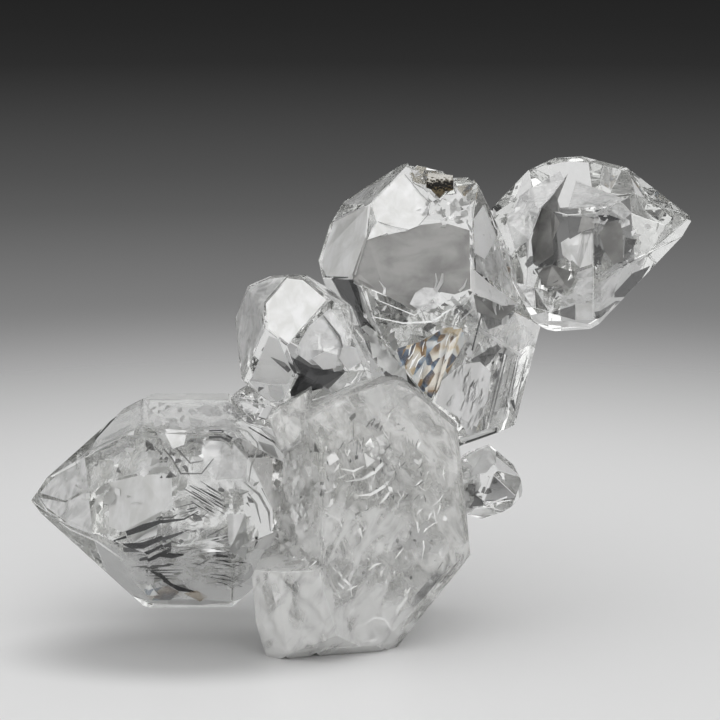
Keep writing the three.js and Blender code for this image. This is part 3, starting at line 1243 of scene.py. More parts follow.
@dataclass
class LeftInside(Inside):
    """The left crystal: parallel cleavages low down, painted dark for the dark backdrop that they reflect,
    striations, veils and glints.
    """

    name: str = "left"
    crystals: tuple[str, ...] = ("left",)
    deep: float = 1.5
    # cracks painted near black for the dark backdrop that they reflect
    dark: Features = (
        Streak((-29.2, -21.7, -27, -20.9, -24.6, -20.2, -22, -19.9, -20.2, -18.9),
               (0.6, 0.85, 0.45, 0.2, 0.1), deep),
        Streak((-29.6, -23.7, -27.2, -23.2, -23.1, -21.9, -21.4, -21.2), (0.6, 0.8, 0.35, 0.1), deep),
        Streak((-27.6, -25, -25.6, -24.6, -23.6, -23.4), (0.3, 0.5, 0.1), deep),
        Streak((-30.8, -22.6, -29.2, -22.1), (0.15, 0.35), deep),
        Streak((-25.1, -24.4, -23.5, -24.5, -22, -24.3), (0.35, 0.66, 0.2), deep),
        Streak((-18, -24.4, -16.5, -24.6), (0.4, 0.2), deep),
        Streak((-13.5, -23.5, -12.8, -22.1), (0.5, 0.1), 1.5),
        Streak((-33.1, -9.9, -30.5, -6.9), (0.15, 0.35), 1),
        Streak((-13.9, -8.4, -9.7, -10.9), (0.15, 0.25), 1),
        Streak((-18.9, -9.7, -17.4, -9.6, -16.1, -10), (0.35, 0.3, 0.15), 2),
        Streak((-26.2, -26.4, -25, -26.9, -23.4, -28.2), (0.15, 0.6, 0.2), deep),
        Streak((-24.6, -27.6, -22.6, -28.6, -20.6, -29), (0.2, 0.6, 0.2), deep),
        *bundle((-20.6, -14.9, -15.7, -17.7), (-23, -16.6, -17.4, -19.9), 14, (0.1, 0.28), 2.4, 4),
        *bundle((-23.5, -18.6, -19.1, -17.6), (-22.6, -19.8, -19, -18.6), 4, (0.1, 0.22), 2.6, 5),
        *bundle((-19.8, -24.8, -14, -25.3), (-19.6, -27.4, -14.4, -28.4), 6, (0.1, 0.25), 2, 7),
    )
    # cracks painted grey for the paler dark reflections in them
    smoke: Features = (
        Streak((-25.7, -10.8, -23.5, -12.3, -22.4, -14.2, -19.8, -14.2, -18.3, -12.3),
               (0.1, 0.2, 0.25, 0.2, 0.1), 2.6),
        Streak((-24.9, -9.8, -22.6, -11.4, -21.2, -12.9, -19.6, -12.6), (0.1, 0.2, 0.2, 0.1), 2.6),
        Streak((-12.3, -16, -10.8, -18.6, -10.6, -21.4), (0.1, 0.3, 0.1), 1.4),
        *bundle((-29.7, -25.8, -22, -25.2), (-28, -27.4, -20.5, -27.6), 6, (0.15, 0.4), deep, 3),
        *splinters((-22, -22.5), (8, 3.5), 22, (0.8, 3.2), (0.08, 0.28), (-15, 35), (1.5, 6), 6),
        *shards((-23, -17), (10, 8), 22, (0.2, 0.6), 2.6, (-60, 30), (1.5, 6), 60),
    )
    white: Features = (
        Streak((-28.9, -9.1, -25, -8.8, -21.2, -8.8, -14.1, -8.9, -12.8, -10.4, -12.6, -13.8, -13.9, -15.2),
               0.2, 1.2),
        Streak((-38.6, -14.6, -35.6, -13, -34, -11.4, -29.6, -9.4), 0.2, 1),
        Streak((-40.4, -16.8, -39.1, -18.9, -37.6, -19.8, -36.2, -21.2, -33, -22.6, -29.6, -25), 0.22, 1),
        Streak((-27.9, -29.9, -24, -30.2, -20, -30.3, -15, -30.1), (0.3, 0.7, 0.7, 0.3), 0.8),
        Pane((-36.3, -15.2, -35.6, -15, -35.3, -16, -35.8, -16.6, -36.2, -16.2), 1.2),
        Pane((-34.3, -16.7, -33.8, -16.6, -33.7, -17.3, -34.2, -17.4), 1.2),
        Pane((-38.1, -18.4, -37.7, -18.6, -37.7, -19.6, -38, -19.4), 0.8),
        Pane((-29.2, -8.9, -28.2, -8.9, -28.3, -9.4, -29.1, -9.4), 0.8),
        Pane((-22.9, -5.9, -22.2, -5.9, -22.3, -6.5, -22.8, -6.5), 0.6),
        Streak((-14.5, -15.3, -12.6, -16.8, -11.4, -19, -11.2, -21.4), (0.1, 0.35, 0.3, 0.1), 1.2),
        Streak((-14, -16.6, -13, -18, -12.4, -20.4), (0.1, 0.3, 0.1), 1.4),
        *bundle((-20.8, -14.7, -15.9, -17.5), (-22.9, -16.3, -17.6, -19.7), 9, (0.08, 0.2), 2.3, 14),
        *bundle((-16.1, -19.4, -15.9, -23.8), (-14.4, -19.4, -14.4, -25), 6, (0.12, 0.35), 1.5, 8),
        *bundle((-23.5, -23.6, -15, -21.6), (-22.5, -25.2, -14.4, -23.6), 6, (0.1, 0.3), 2.4, 15),
        *bundle((-19.4, -25.1, -14.2, -25.7), (-19, -27.8, -14.6, -28.8), 7, (0.1, 0.22), 1.9, 9),
        *splinters((-22, -21), (9, 5), 26, (0.8, 3.4), (0.08, 0.3), (-30, 50), (1.5, 7), 10),
        *shards((-23, -16.5), (11, 9), 34, (0.2, 0.7), 2.6, (-60, 50), (1.5, 6), 61),
        *shards((-27, -12.2), (4, 2.4), 8, (0.3, 0.8), 3, (-20, 60), (2, 3), 62),
        *shards((-21, -7), (9, 1.2), 12, (0.2, 0.7), 3, (-30, 30), (0.8, 2), 63),
        Pane((-16.6, -19.3, -14.4, -19.3, -14.4, -25, -16.4, -23.7), 0.5, FLAT),
        Pane((-12.8, -10.1, -10.8, -10.7, -9.5, -13.1, -9.9, -15.3, -12.7, -13.1), 0.5, FLAT),
    )
    pale: Features = (
        Pane((-25.6, -8.9, -24.4, -8.6, -22.6, -8.3, -21.7, -8.8, -22, -10.6, -23.4, -11.1, -24.4, -10.4), 1),
        Pane((-31.4, -15.3, -27.4, -14.4, -23.5, -14.2, -23.5, -18.6, -25.7, -20, -29.7, -21.5,
              -31.4, -20.8), 2.5, FLAT),
        Pane((-28.6, -21.9, -24.6, -20.6, -25.4, -21.9, -28.4, -22.9), 2.8),
        *shards((-34, -15.5), (4, 3), 10, (0.3, 1), 2, (20, 80), (0.8, 2.5), 64),
        *shards((-22, -27.6), (7, 1.8), 16, (0.3, 0.9), 3, (-25, 10), (1, 3), 65),
    )
    mist: Features = (
        Pane((-19.8, -10, -16.6, -9.4, -13.6, -10.2, -12.9, -12.6, -14.2, -14.8, -18, -15, -19.8, -13), 3),
        Pane((-33.8, -11.6, -30, -9.6, -25, -9.2, -24, -13.6, -31.6, -15, -34, -17), 4.4),
        Pane((-40, -16.6, -37.6, -14, -34.4, -12.2, -34, -16, -36.8, -17.6), 0.8, FLAT),
        Pane((-40, -17.2, -36.8, -17.8, -34, -16.4, -33.4, -21.6, -36.6, -20.6, -39.2, -18.4), 1,
             (0.05, 0.1)),
        *shards((-22, -6.8), (10, 1.4), 14, (0.5, 1.4), 2.4, (-30, 30), (0.8, 2.5), 66),
    )
    veil: Features = (
        Sheet((-26, -13.5), (6, 4), 20, 5, (1, -1.5), 0.8, 11),
        Sheet((-30, -18), (6, 5), -30, 4, (1.5, 0.5), 0.6, 12),
        Sheet((-19, -22), (6, 5.5), 35, 6, (-1, 1), 0.8, 13),
    )
    haze: Features = (
        Sheet((-24.5, -14.5), (11, 5.5), 0, 6.5, (0.6, -0.6), 0.6, 16),
        Sheet((-22, -25), (9, 4.5), 4, 5, (0.4, 0.6), 0.6, 17),
        Sheet((-22, -6.8), (9.5, 1.6), 0, 2, (0.2, 0.2), 0.3, 19),
    )
    tinge: Features = (
        Pane((-27, -28.6, -24, -28.2, -22.6, -29, -23.6, -30, -26.2, -30.1), 0.8),
        Pane((-22, -29.2, -20.4, -28.8, -19, -29.6, -20, -30.2), 0.8),
    )


@dataclass
class MiddleInside(Inside):
    """The middle crystal: a broad calm face above, broken and coloured planes below."""

    name: str = "middle"
    crystals: tuple[str, ...] = ("middle",)
    silver: Features = (
        Pane((0.9, 15.1, 5.9, 16.2, 7.6, 16.9, 10.4, 17.2, 13.7, 16.2, 13.8, 8.9, 11.8, 8.2, 10.1, 8.5,
              8.7, 7.8, 6.8, 6.1, 3.1, 8.2, -0.7, 9.6, -0.9, 10.1), 1, FLAT),
        Pane((14.2, 8.2, 19.4, 6.9, 17.6, 5, 14.6, 6), 1.6),
    )
    # cracks painted near black for the dark backdrop that they reflect
    dark: Features = (
        Pane((-3.6, 10.1, -0.9, 10, -0.2, 8.9, 0.5, 5.4, 2.1, 3.5, 0.4, 4.7, -1.7, 7.8), 1.2),
        Streak((15.8, 8, 14, 1.2), (0.1, 0.2), 2),
        Streak((19, -5, 19.4, -6.4), (0.5, 0.15), 1.2),
        *shards((16.8, 0.6), (1.8, 1.6), 4, (0.3, 0.8), 1.8, (20, 60), (1.6, 3), 70),
    )
    # cracks painted grey for the paler dark reflections in them
    smoke: Features = (
        Pane((15, 6.4, 19.4, 6, 18.2, 4.6, 16, 3.8), 2.5),
        Pane((13.8, 0, 17.2, 2, 17.7, 1.5, 16.2, -0.4, 15.2, -1.2), 2.5),
        *bundle((18.4, 3, 15.8, -8.2), (21.4, 1, 19.4, -6.6), 7, (0.1, 0.3), 1.8, 20),
        *splinters((13.2, -4.6), (2.6, 4), 12, (0.8, 2.6), (0.05, 0.14), (68, 84), (0.2, 0.4), 103),
        Streak((5.6, 23.2, 7.6, 20.8, 8.8, 19.6, 8.4, 18, 7.4, 16.9), 0.06, 0.3, FLAT),
        Streak((2.2, 17.3, 4, 16.7, 6, 16.3), 0.05, 0.3, FLAT),
        *shards((7, 5.6), (7, 1.6), 14, (0.2, 0.7), 2.6, (-20, 60), (1.6, 5), 71),
        *shards((17.5, -1), (4, 6), 14, (0.2, 0.8), 2.6, (40, 100), (1.6, 5), 72),
    )
    white: Features = (
        Pane((10.2, -2.6, 12.6, -0.6, 15, -0.2, 16.4, -1.6, 15.9, -5, 14.6, -8.4, 12.8, -10.4, 12.2, -7.1,
              9.4, -5.4), 0.6, FLAT),
        Pane((2, 1.6, 4.2, 1.4, 5, -0.5, 7, -3.8, 4, -1.9, 2.2, -0.6), 1.4, (0, 0.5)),
        Pane((0.8, 4.6, 2.2, 3.6, 2.8, 0.6, 1.6, 0.2), 1.4, (0, 0.5)),
        Streak((-0.8, 9.7, 1.4, 8.8, 3.3, 8), 0.14, 0.9),
        Streak((1.7, 5.4, 5.4, 4.6, 9, 4.8, 11.4, 6.4, 13.2, 8.2), (0.1, 0.2, 0.2, 0.2, 0.1), 1.4),
        Streak((2.4, 7.4, 6.8, 5.6, 9.6, 7.2, 12, 7.6), (0.1, 0.15, 0.2, 0.1), 1.4),
        Streak((0.4, 8.6, 1.2, 5.2, 2.6, 3.4), (0.3, 0.4, 0.15), 1.2),
        Streak((10.4, 11.4, 10.2, 9.8, 9.5, 8.6), (0.1, 0.5, 0.4), 0.7),
        Streak((9.4, 11.2, 9.6, 9.8, 9.3, 8.8), (0.05, 0.25, 0.2), 0.7),
        Streak((2.4, 9.9, 3.1, 8.9, 3, 8.2), (0.05, 0.3, 0.4), 0.7),
        Streak((13.4, 10.2, 13, 9.2, 12.4, 8.6), (0.05, 0.3, 0.3), 0.7),
        Streak((14.6, 4, 20.1, 0.6), 0.42, 1.6),
        Streak((12.6, 5, 15.6, 7.6), (0.15, 0.3), 1.6),
        Pane((13.1, -7.7, 13.6, -7.8, 13.7, -8.5, 13.3, -8.8, 13, -8.4), 0.6),
        Pane((12.8, 20.4, 13.2, 20.5, 13.4, 19.9, 12.9, 19.8), 0.4),
        Pane((11.7, 17.8, 12.2, 17.8, 12.2, 17.3, 11.8, 17.3), 0.4),
        *shards((2.4, 1.8), (2, 3.2), 16, (0.4, 1.2), 2, (20, 110), (1.2, 3), 22),
        *shards((8, 5.4), (7.5, 1.8), 18, (0.2, 0.6), 2.8, (-20, 70), (1.5, 5), 23),
        *splinters((9, 0.6), (3.4, 2.6), 9, (0.8, 2.2), (0.1, 0.3), (40, 80), (0.6, 1.2), 99),
        *shards((9, 23.2), (2.4, 0.9), 26, (0.2, 0.6), 1.8, (-30, 40), (0.2, 0.6), 90),
        *splinters((17.2, 12.6), (2.4, 6), 54, (0.8, 3.6), (0.12, 0.45), (98, 122), (0.3, 1.6), 91),
        *splinters((13.2, -4.6), (2.8, 4.2), 26, (0.8, 3.2), (0.12, 0.5), (62, 86), (0.2, 0.5), 105),
        *shards((16.4, 14), (1.8, 4.6), 16, (0.2, 0.6), 2.6, (95, 130), (0.6, 2), 92),
        *shards((10.3, 19), (3, 1.8), 22, (0.15, 0.5), 2.2, (-40, 80), (0.3, 1.2), 73),
        *splinters((19, -1.5), (2.6, 5.4), 22, (0.8, 2.6), (0.08, 0.26), (50, 85), (1.5, 4), 24),
        *splinters((15.6, 13), (1.8, 6), 14, (0.8, 2.6), (0.08, 0.3), (95, 125), (0.8, 2.5), 74),
    )
    pale: Features = (
        Pane((1.7, 20, 5.4, 23.3, 7.5, 20.9, 8.7, 19.7, 7.6, 17, 5.9, 16.2, 2.1, 17.2, 1.6, 18.8), 0.6, FLAT),
        Pane((0.9, 15, 1.5, 16.6, 2.1, 17.2, 5.9, 16.1, 3.5, 15.9), 0.5, FLAT),
        Pane((1.2, 19.3, 0.9, 15.1, -0.9, 10.1, -4.2, 10.2, -4.8, 11.7, -4.6, 13.4, -3, 18.6), 0.8, FLAT),
        Pane((12.2, -10.6, 16.9, -8.9, 17.3, -8.1, 12.4, -9.7), 0.4),
        *shards((11, 18.6), (3.2, 2), 12, (0.3, 0.9), 2, (-40, 80), (0.4, 1.6), 75),
    )
    milk: Features = (
        Pane((13.9, 11.4, 16.4, 9.4, 19.9, 6.9, 17.7, 6.8, 13.9, 8.6), 0.25, FLAT),
        Pane((14.2, 17.6, 15.4, 19.4, 17, 15.4, 15.6, 12.6, 14.2, 13.4), 0.25, FLAT),
    )
    mist: Features = (
        Pane((6.2, 7, 6.9, 8.4, 8, 9.1, 9.2, 9, 10.2, 8.2, 11, 7.4, 9.2, 6.4, 7.4, 6.2), 0.5, FLAT),
        Pane((-2.8, 19.2, 0.6, 21.4, 5, 23.4, 1.4, 20, 1.1, 19.5), 0.8),
        Pane((14, 16, 15.6, 19.5, 18.2, 12, 19.8, 7.4, 14.1, 11.2), 1.6),
        *shards((16, 0), (5.5, 8), 14, (0.5, 1.3), 2.4, (40, 100), (1.6, 5), 76),
    )
    rainbow: Features = (
        Pane((4.5, 1.4, 7.6, 2.3, 10.4, 4, 12.8, 4, 13.2, 2.3, 8.9, -4.8, 7.6, -4, 5.2, -0.5), 1.4,
             (0.1, 0.15)),
    )
    veil: Features = (
        Sheet((7, 4), (6, 2.6), 10, 5, (1, -1), 0.7, 25),
        Sheet((15, -2), (4, 7), -25, 4, (0.5, 1), 0.6, 26),
    )
    haze: Features = (
        Sheet((16, -1), (5.5, 8), -20, 3.4, (0.3, 0.4), 0.4, 28),
    )
    stain: Features = (
        Sheet((8.9, 22.7), (2.6, 0.9), -8, 0.5, (0.1, 0.1), 0.1, 29),
    )


@dataclass
class RightInside(Inside):
    """The right crystal: a dark curved wedge, a white fan and grey panes."""

    name: str = "right"
    crystals: tuple[str, ...] = ("right",)
    silver: Features = (
        Pane((26, 23.3, 24.2, 20.9, 21.4, 15, 21.7, 12, 22.1, 11.7, 24.2, 13.2, 24.1, 15, 25, 17.1,
              24.4, 18.2, 24.7, 20), 1.2),
        Pane((30.2, 17.6, 32.6, 17.1, 32.9, 15, 32.9, 12.3, 31.7, 12, 30.5, 13.8, 29.9, 15.9), 1.8),
        Pane((27.8, 18.2, 29.8, 17.6, 29.3, 16.5, 27.2, 15.9), 1.8),
        Pane((21.8, 11.4, 24, 11.9, 26.9, 11.1, 26.3, 9, 22.2, 7.9), 1.6),
    )
    # cracks painted near black for the dark backdrop that they reflect
    dark: Features = (
        Pane((29.4, 18.1, 31.2, 18.1, 32.6, 17.6, 31.2, 17.3, 30.1, 17.5), 1.5),
        Pane((31.8, 8.4, 34, 10.8, 36.3, 11.8, 35.5, 10.2, 32.9, 7.2, 31.8, 7.8), 1),
        *bundle((29.3, 14.4, 30.3, 13.4), (29.3, 11, 29.8, 10.6), 7, (0.1, 0.2), 1.5, 31),
    )
    # cracks painted grey for the paler dark reflections in them
    smoke: Features = (
        Pane((33.2, 15.3, 34.6, 15.1, 33.6, 12.6, 32.9, 12.3), 1.7),
        Pane((29.3, 6, 32, 7.4, 32.6, 7.4, 29.6, 5.1), 0.8),
        Pane((23.3, 6, 26.9, 6.9, 26.9, 5), 1),
        Pane((29.3, 14.5, 30.5, 13.5, 29.3, 10.2), 1.9),
        *shards((27, 11), (6, 5), 12, (0.2, 0.6), 2.6, (20, 110), (1.5, 4), 30),
    )
    white: Features = (
        Streak((29.1, 17.5, 29.1, 12, 29.1, 5), 0.1, 0.8),
        Streak((29.2, 5.2, 32, 6.9), 0.35, 0.6),
        Streak((22.4, 4.9, 26, 4.5, 29.1, 4.2), (0.5, 0.7, 0.4), 0.6),
        Pane((35.5, 16.9, 36.2, 17.1, 36.5, 16.5, 35.9, 16.3), 0.8),
        Pane((20.3, 20.5, 21, 20.7, 21.1, 20.1, 20.5, 19.9), 0.8),
        Pane((30.2, 18.8, 30.6, 18.9, 30.9, 17.9, 30.4, 17.9), 1.4),
        Pane((16.3, 19.4, 17, 18.6, 16.8, 16.8, 16.4, 17.4), 0.5),
        Pane((24.6, 8.6, 24.9, 8.4, 25.4, 7.9, 24.8, 8, 24.3, 7.7, 24.5, 8.1), 1),
        *bundle((27.8, 16, 26.9, 12.6), (28.9, 16.2, 28.9, 12.2), 5, (0.1, 0.3), 1.6, 35),
        *shards((27, 11), (6.5, 5.5), 14, (0.2, 0.6), 2.8, (20, 110), (1.5, 4), 32),
        *shards((19.8, 19.5), (2.4, 3), 8, (0.15, 0.4), 2.4, (40, 70), (0.8, 2), 36),
    )
    pale: Features = (
        Pane((25.1, 14.7, 27.8, 16, 29, 16.2, 29, 12, 27.5, 11.5, 25.3, 13.2), 1.8),
        Pane((26.9, 7.1, 29, 7.1, 29, 5, 27.1, 5), 1.2),
        *shards((34.6, 14.4), (2.6, 2), 6, (0.3, 0.9), 2.4, (20, 70), (0.8, 2.5), 37),
    )
    mist: Features = (
        Pane((18.4, 17.8, 21.6, 21.6, 25, 23.6, 25.6, 22.6, 23.8, 20.2, 21.2, 15, 19.4, 13.8), 1.2, FLAT),
        Pane((27, 22.4, 31.8, 20.6, 34, 18.4, 33, 17.6, 31.2, 18.8, 26, 18.9), 2.2),
        Pane((27.2, 11, 29, 11.6, 29, 7.4, 26.6, 8.6), 2),
        Pane((29.4, 9.6, 33, 11.6, 31.6, 8, 29.4, 6.4), 2),
        *shards((30, 15), (7, 7), 10, (0.5, 1.2), 2.2, (20, 110), (1.6, 4), 38),
    )
    veil: Features = (
        Sheet((27, 10), (5, 3.4), 20, 4, (0.6, 0.5), 0.5, 33),
    )


@dataclass
class ShoulderInside(Inside):
    """The shoulder crystal and the stub under it."""

    name: str = "shoulder"
    crystals: tuple[str, ...] = ("shoulder", "stub")
    # cracks painted near black for the dark backdrop that they reflect
    dark: Features = (
        Pane((-8.6, 0.4, -6.2, -0.9, -1.9, -1.6, -4.5, -3.2, -8.6, -4.6, -9, -3.9, -8.1, -1.8), 1.5),
    )
    white: Features = (
        Streak((-14.1, -2.4, -12.4, -4.6, -10.6, -6.1), (0.15, 0.3, 0.3), 0.5),
        *shards((-12.6, -6.4), (3.2, 2.8), 14, (0.15, 0.5), 2, (-50, 60), (0.5, 2), 41),
        *shards((-2.2, 0.2), (1.4, 1.4), 7, (0.2, 0.7), 2.4, (10, 60), (1, 2), 44),
    )
    milk: Features = (
        Pane((-11.6, -3.1, -9.8, -3.1, -9.4, -4.4, -10.2, -5.5, -11.2, -4.6), 0.25, FLAT),
        Pane((-6.1, 0.2, -4.4, 1.1, -2.9, 0.6, -3, -1, -4.6, -1.2), 0.3, FLAT),
        Pane((-2.1, 1.9, -0.4, 1.6, 0.2, -0.2, -1.6, -1.3, -2.6, 0.2), 0.3, FLAT),
        Pane((-11.4, 3, -10.2, 2.6, -8.4, -1.6, -9, -3, -11.2, -3, -13.6, -2.3), 0.3, FLAT),
    )
    pale: Features = (
        Pane((-9, 10.2, -6.9, 10.2, -4.2, 7.5, -9, 2.1, -11.5, 4, -11.8, 7), 0.6, FLAT),
    )
    mist: Features = (
        Pane((-15.4, 5.6, -13.8, 9.1, -11.2, 10.6, -9.2, 10.4, -11.9, 7.2, -12.1, 5.6), 0.8),
        Pane((-13.8, 9.1, -12.1, 7, -11.9, 3.6, -14.7, -1.7, -15.4, 3.1, -15.5, 5.4), 0.8),
        Pane((-6.8, 4.6, -4.2, 7, -1.6, 3.4, -1.2, -0.8, -6, -0.6, -8.2, 1), 1.6),
    )
    # cracks painted grey for the paler dark reflections in them
    smoke: Features = (
        Streak((-4.6, 5.6, -2.6, 3, -1.9, 0.6), (0.1, 0.3, 0.1), 1.4),
        Streak((-12.2, 1.4, -10.8, 0.6, -8.8, -1.4), (0.5, 0.9, 0.5), 0.25),
        *shards((-12.6, -6.4), (3.2, 2.8), 10, (0.2, 0.6), 2, (-50, 60), (0.6, 2), 40),
    )


@dataclass
class SmallInside(Inside):
    """The small crystal at the right."""

    name: str = "small"
    crystals: tuple[str, ...] = ("small",)
    white: Features = (
        Pane((13, -12.2, 16.1, -10.8, 17, -11.5, 16.8, -12.9, 15.8, -14.1, 13.9, -14.4), 0.8),
        Streak((14.1, -18.4, 18.4, -17.1), 0.2, 0.6),
    )
    # cracks painted grey for the paler dark reflections in them
    smoke: Features = (
        *shards((15.5, -15.8), (2.2, 1.2), 6, (0.3, 0.9), 2, (0, 60), (0.8, 2), 45),
    )


@dataclass
class FrontInside(Inside):
    """The front crystal: wisps and small bright cracks before the milky heart."""

    name: str = "front"
    crystals: tuple[str, ...] = ("front", "lobe", "corner")
    # cracks painted grey for the paler dark reflections in them
    smoke: Features = (
        Pane((5.5, -14.2, 6.3, -14, 6.6, -15.2, 6, -15.8), 1),
        Pane((-7.8, -30.6, -6.4, -30.2, -5.6, -31.2, -6.6, -31.9), 0.6),
        Pane((5.8, -31.9, 6.9, -29.4, 9, -27, 11.4, -24.6, 10.7, -26.3, 8.6, -29, 7.2, -30.5), 0.6),
        *bundle((0.6, -8.6, 1.6, -7.2), (2.2, -9.2, 3, -7.4), 5, (0.15, 0.3), 0.5, 57),
        *bundle((-0.9, -7.6, -1, -12.4), (0.6, -8.4, 0.2, -12.8), 4, (0.1, 0.25), 0.5, 93),
        *bundle((-8.8, -28.2, -6.6, -26), (-8, -29.4, -6, -28), 3, (0.2, 0.4), 0.5, 94),
        *splinters((2, -14), (7, 8), 34, (0.4, 1.6), (0.08, 0.25), (30, 130), (0.3, 0.8), 50),
        *shards((1, -18), (9, 12), 26, (0.15, 0.45), 2.4, (30, 120), (0.3, 0.8), 58),
        *splinters((11, -25.5), (2.4, 2), 8, (0.6, 2), (0.1, 0.25), (40, 60), (0.4, 1), 59),
    )
    white: Features = (
        Streak((-4.8, -10.1, -4.9, -13), (0.2, 0.1), 0.6),
        Pane((-10.8, -24.2, -6.3, -24.9, -8.1, -28.1, -10.5, -26.3), 0.5),
        Streak((2, -12.8, 3.1, -10.7), 0.35, 0.6),
        Pane((3.5, -15.8, 4, -15.9, 4.1, -16.5, 3.6, -16.4), 0.5),
        Pane((-12.4, -32.7, -11.2, -32.6, -10.8, -33.4, -11.6, -34), 0.4),
        Streak((-10, -32.9, -9.2, -33.3, -8.8, -34.4), 0.25, 0.4),
        Streak((-1.8, -15.2, 0.2, -14.9, 1.8, -14, 3.6, -12.2, 4.3, -10.8), (0.1, 0.3, 0.5, 0.3, 0.1), 0.5),
        Streak((-0.6, -17, 1.4, -16.8, 3, -15.8, 4.2, -14.4), (0.1, 0.35, 0.4, 0.1), 0.5),
        Streak((-2.4, -13.6, -0.8, -13.9, 0.6, -13.2), (0.1, 0.3, 0.1), 0.5),
        Streak((2.4, -18, 3.2, -17.2, 4.1, -15.9), (0.15, 0.35, 0.1), 0.45),
        Streak((-7.3, -20.2, -7.1, -19, -6.7, -17.8), (0.1, 0.25, 0.1), 0.45),
        Streak((-6.6, -20, -6.2, -18.6), (0.1, 0.2), 0.45),
        Streak((-4.8, -20, -3.6, -19.5, -2.6, -20, -2.2, -21), (0.1, 0.3, 0.3, 0.1), 0.45),
        Streak((-2.9, -26.2, -2, -27.4, -1.2, -28.2, -1, -29.6), (0.1, 0.35, 0.25, 0.1), 0.45),
        Streak((-3.2, -27.4, -2, -28.6), (0.1, 0.25), 0.45),
        Streak((7.1, -19.8, 7.3, -21.6), (0.3, 0.1), 0.45),
        Streak((7.8, -21.5, 8, -23.4, 7.7, -25.2), (0.1, 0.2, 0.1), 0.45),
        Streak((-10.8, -22.2, -9.4, -23, -8.2, -24.4), (0.1, 0.25, 0.1), 0.4),
        Streak((-10.4, -21.6, -9.2, -22.2), (0.1, 0.2), 0.4),
        Streak((0.6, -33, 1.8, -32.2, 3.2, -32.4, 3.8, -33.6), (0.1, 0.3, 0.3, 0.1), 0.4),
        Streak((0.2, -35.2, 2, -35, 4.2, -35.6), (0.1, 0.3, 0.1), 0.4),
        Streak((4.4, -32, 5, -30.8, 5.9, -29.6), (0.15, 0.35, 0.15), 0.4),
        Pane((2, -9.7, 2.9, -9.2, 4.4, -12.2, 4.2, -13.8, 3, -12.6), 0.5, (0, 0.35)),
        Pane((0.4, -11.6, 1.6, -10.4, 2, -12.6, 0.8, -13.6), 0.5, (0, 0.35)),
        Pane((-4.2, -12.2, -3.2, -11.4, -2.6, -12.4, -3.8, -13.2), 0.5, (0, 0.35)),
        Pane((-11.6, -26.4, -9.4, -25.6, -9, -28.6, -10.6, -30.4), 0.5, (0, 0.35)),
        Pane((-4.6, -33.6, -1.6, -32.8, -2.2, -34.6, -4, -35.2), 0.5, (0, 0.35)),
        *(Streak((-5.3, -24.8, -5.3 + 1.6 * math.cos(turn), -24.8 + 1.6 * math.sin(turn)), (0.3, 0.05), 0.45)
          for turn in (0.3, 1.1, 1.9, 2.8, 3.9, 4.9, 5.6)),
        *splinters((0.5, -18.5), (11, 14), 110, (0.4, 2.2), (0.08, 0.3), (20, 140), (0.2, 0.7), 51),
        *shards((0.5, -18.5), (11, 14), 70, (0.15, 0.45), 2.8, (30, 120), (0.3, 0.8), 77),
        *shards((-8.5, -17), (2.6, 6), 26, (0.25, 0.8), 2.6, (60, 110), (0.3, 0.8), 104),
        *shards((2.4, -12.4), (2.6, 2.6), 14, (0.3, 0.8), 2.4, (50, 110), (0.5, 1.4), 52),
    )
    pale: Features = (
        *shards((0, -22), (11, 11), 40, (0.4, 1.3), 2.4, (30, 120), (0.5, 1.6), 78),
        *shards((-6, -31.5), (6, 3), 18, (0.3, 1), 2.4, (0, 120), (0.4, 1.2), 79),
    )
    veil: Features = (
        Sheet((1.2, -15), (3.4, 2.6), 30, 0.8, (0.3, 0.3), 0.3, 95),
        Sheet((-2, -14), (5, 8), 10, 1.6, (0.4, 0.4), 0.5, 53),
        Sheet((7.5, -19), (4.5, 7), -20, 1.2, (0.3, 0.3), 0.3, 54),
        Sheet((-6, -25), (5, 7), 15, 1.5, (0.3, 0.3), 0.4, 55),
        Sheet((2, -29), (7, 4), 10, 1.5, (0.3, 0.3), 0.4, 56),
    )
    haze: Features = (
        Sheet((9, -20), (3, 4.6), -15, 0.8, (0.2, 0.2), 0.2, 80),
        Sheet((5, -6), (5, 3), -20, 0.8, (0.2, 0.2), 0.2, 96),
        Sheet((-8.4, -9), (2.6, 4.6), 0, 0.8, (0.2, 0.2), 0.2, 97),
        Sheet((4, -25), (5, 4.6), 20, 0.8, (0.2, 0.2), 0.2, 98),
        Sheet((-2.4, -28.6), (3, 4.8), 15, 0.5, (0.1, 0.1), 0.1, 101),
        Sheet((-1.8, -28.6), (3, 4.8), 15, 1.2, (0.1, 0.1), 0.1, 102),
    )


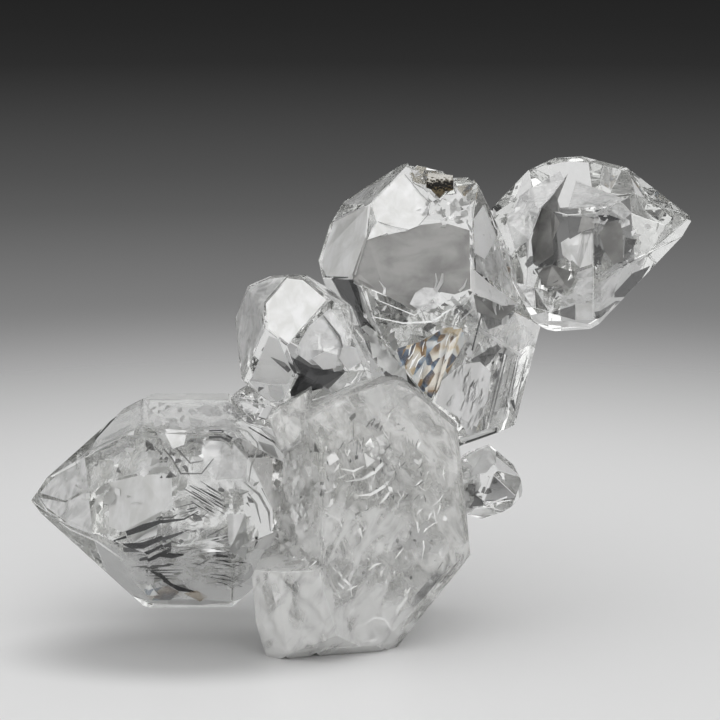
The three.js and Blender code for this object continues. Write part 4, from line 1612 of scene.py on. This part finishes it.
# ---- the dark grain
@dataclass(frozen=True)
class DarkMineral:
    """Pitch-black pyrobitumen under a pale broken crust, with rust below: dull, rough and pitted."""

    name: str = "pyrobitumen_grain"
    pit_mm: float = 0.35
    pit_depth_mm: float = 0.15
    foot_mm: float = 54.2
    head_mm: float = 56.9
    roughness: float = 0.8
    gloss: float = 0.25
    layers: tuple[tuple[float, str], ...] = (
        (0.0, "1a1612"), (0.12, "4a4132"), (0.34, "5f543e"), (0.40, "14110d"), (0.66, "0f0d0a"),
        (0.70, "6f685a"), (0.77, "b3b0a9"), (0.88, "cfcdc8"), (1.0, "b9b7b1"))

    def build(self) -> Material:
        """Make the material: rust, black and crust by height, shifted by the pits."""
        material, tree = new_material(self.name)
        pits = mottling(tree, self.pit_mm, detail=5.0, warp=0.5)
        way = add_node(tree, "SeparateXYZ", None, {0: add_node(tree, "TexCoord").outputs["Object"]})
        rise = add_node(tree, "MapRange", None, {0: way.outputs["Z"], 1: self.foot_mm * MM,
                                                 2: self.head_mm * MM, 3: -0.5, 4: 0.5})
        shift = add_node(tree, "Math", {"operation": "MULTIPLY_ADD"}, {0: pits, 1: 1.0, 2: rise.outputs[0]})
        tones = add_node(tree, "ValToRGB", None, {0: shift.outputs[0]}, list(self.layers))
        bump = add_node(tree, "Bump", None,
                        {"Height": pits, "Distance": self.pit_depth_mm * MM, "Strength": 1.0})
        surface(tree, {"Base Color": tones.outputs[0], "Roughness": self.roughness,
                       "Specular IOR Level": self.gloss, "Normal": bump.outputs[0]})
        return material


# ---- all of it
def main() -> None:
    """Build the studio, the skin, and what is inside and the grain."""
    logging.basicConfig(level=logging.INFO, format="%(name)s %(message)s")
    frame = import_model()
    cluster = frame["nodes"]["crystal_cluster"]
    skin = Skin(triangles_of(cluster.data))
    sight = Sight(skin)
    Studio().build(sight)
    ClearSkin().build(cluster)
    MilkyHeart().build(skin)
    looks = {look: look.build() for look in Look}
    for inside in (LeftInside, MiddleInside, RightInside, ShoulderInside, SmallInside, FrontInside):
        inside().build(sight, looks)
    grain = frame["nodes"]["dark_mineral_grain"]
    grain.data.materials.clear()
    grain.data.materials.append(DarkMineral().build())
    log.info("%s: dressed", grain.name)


if __name__ == "__main__":
    main()
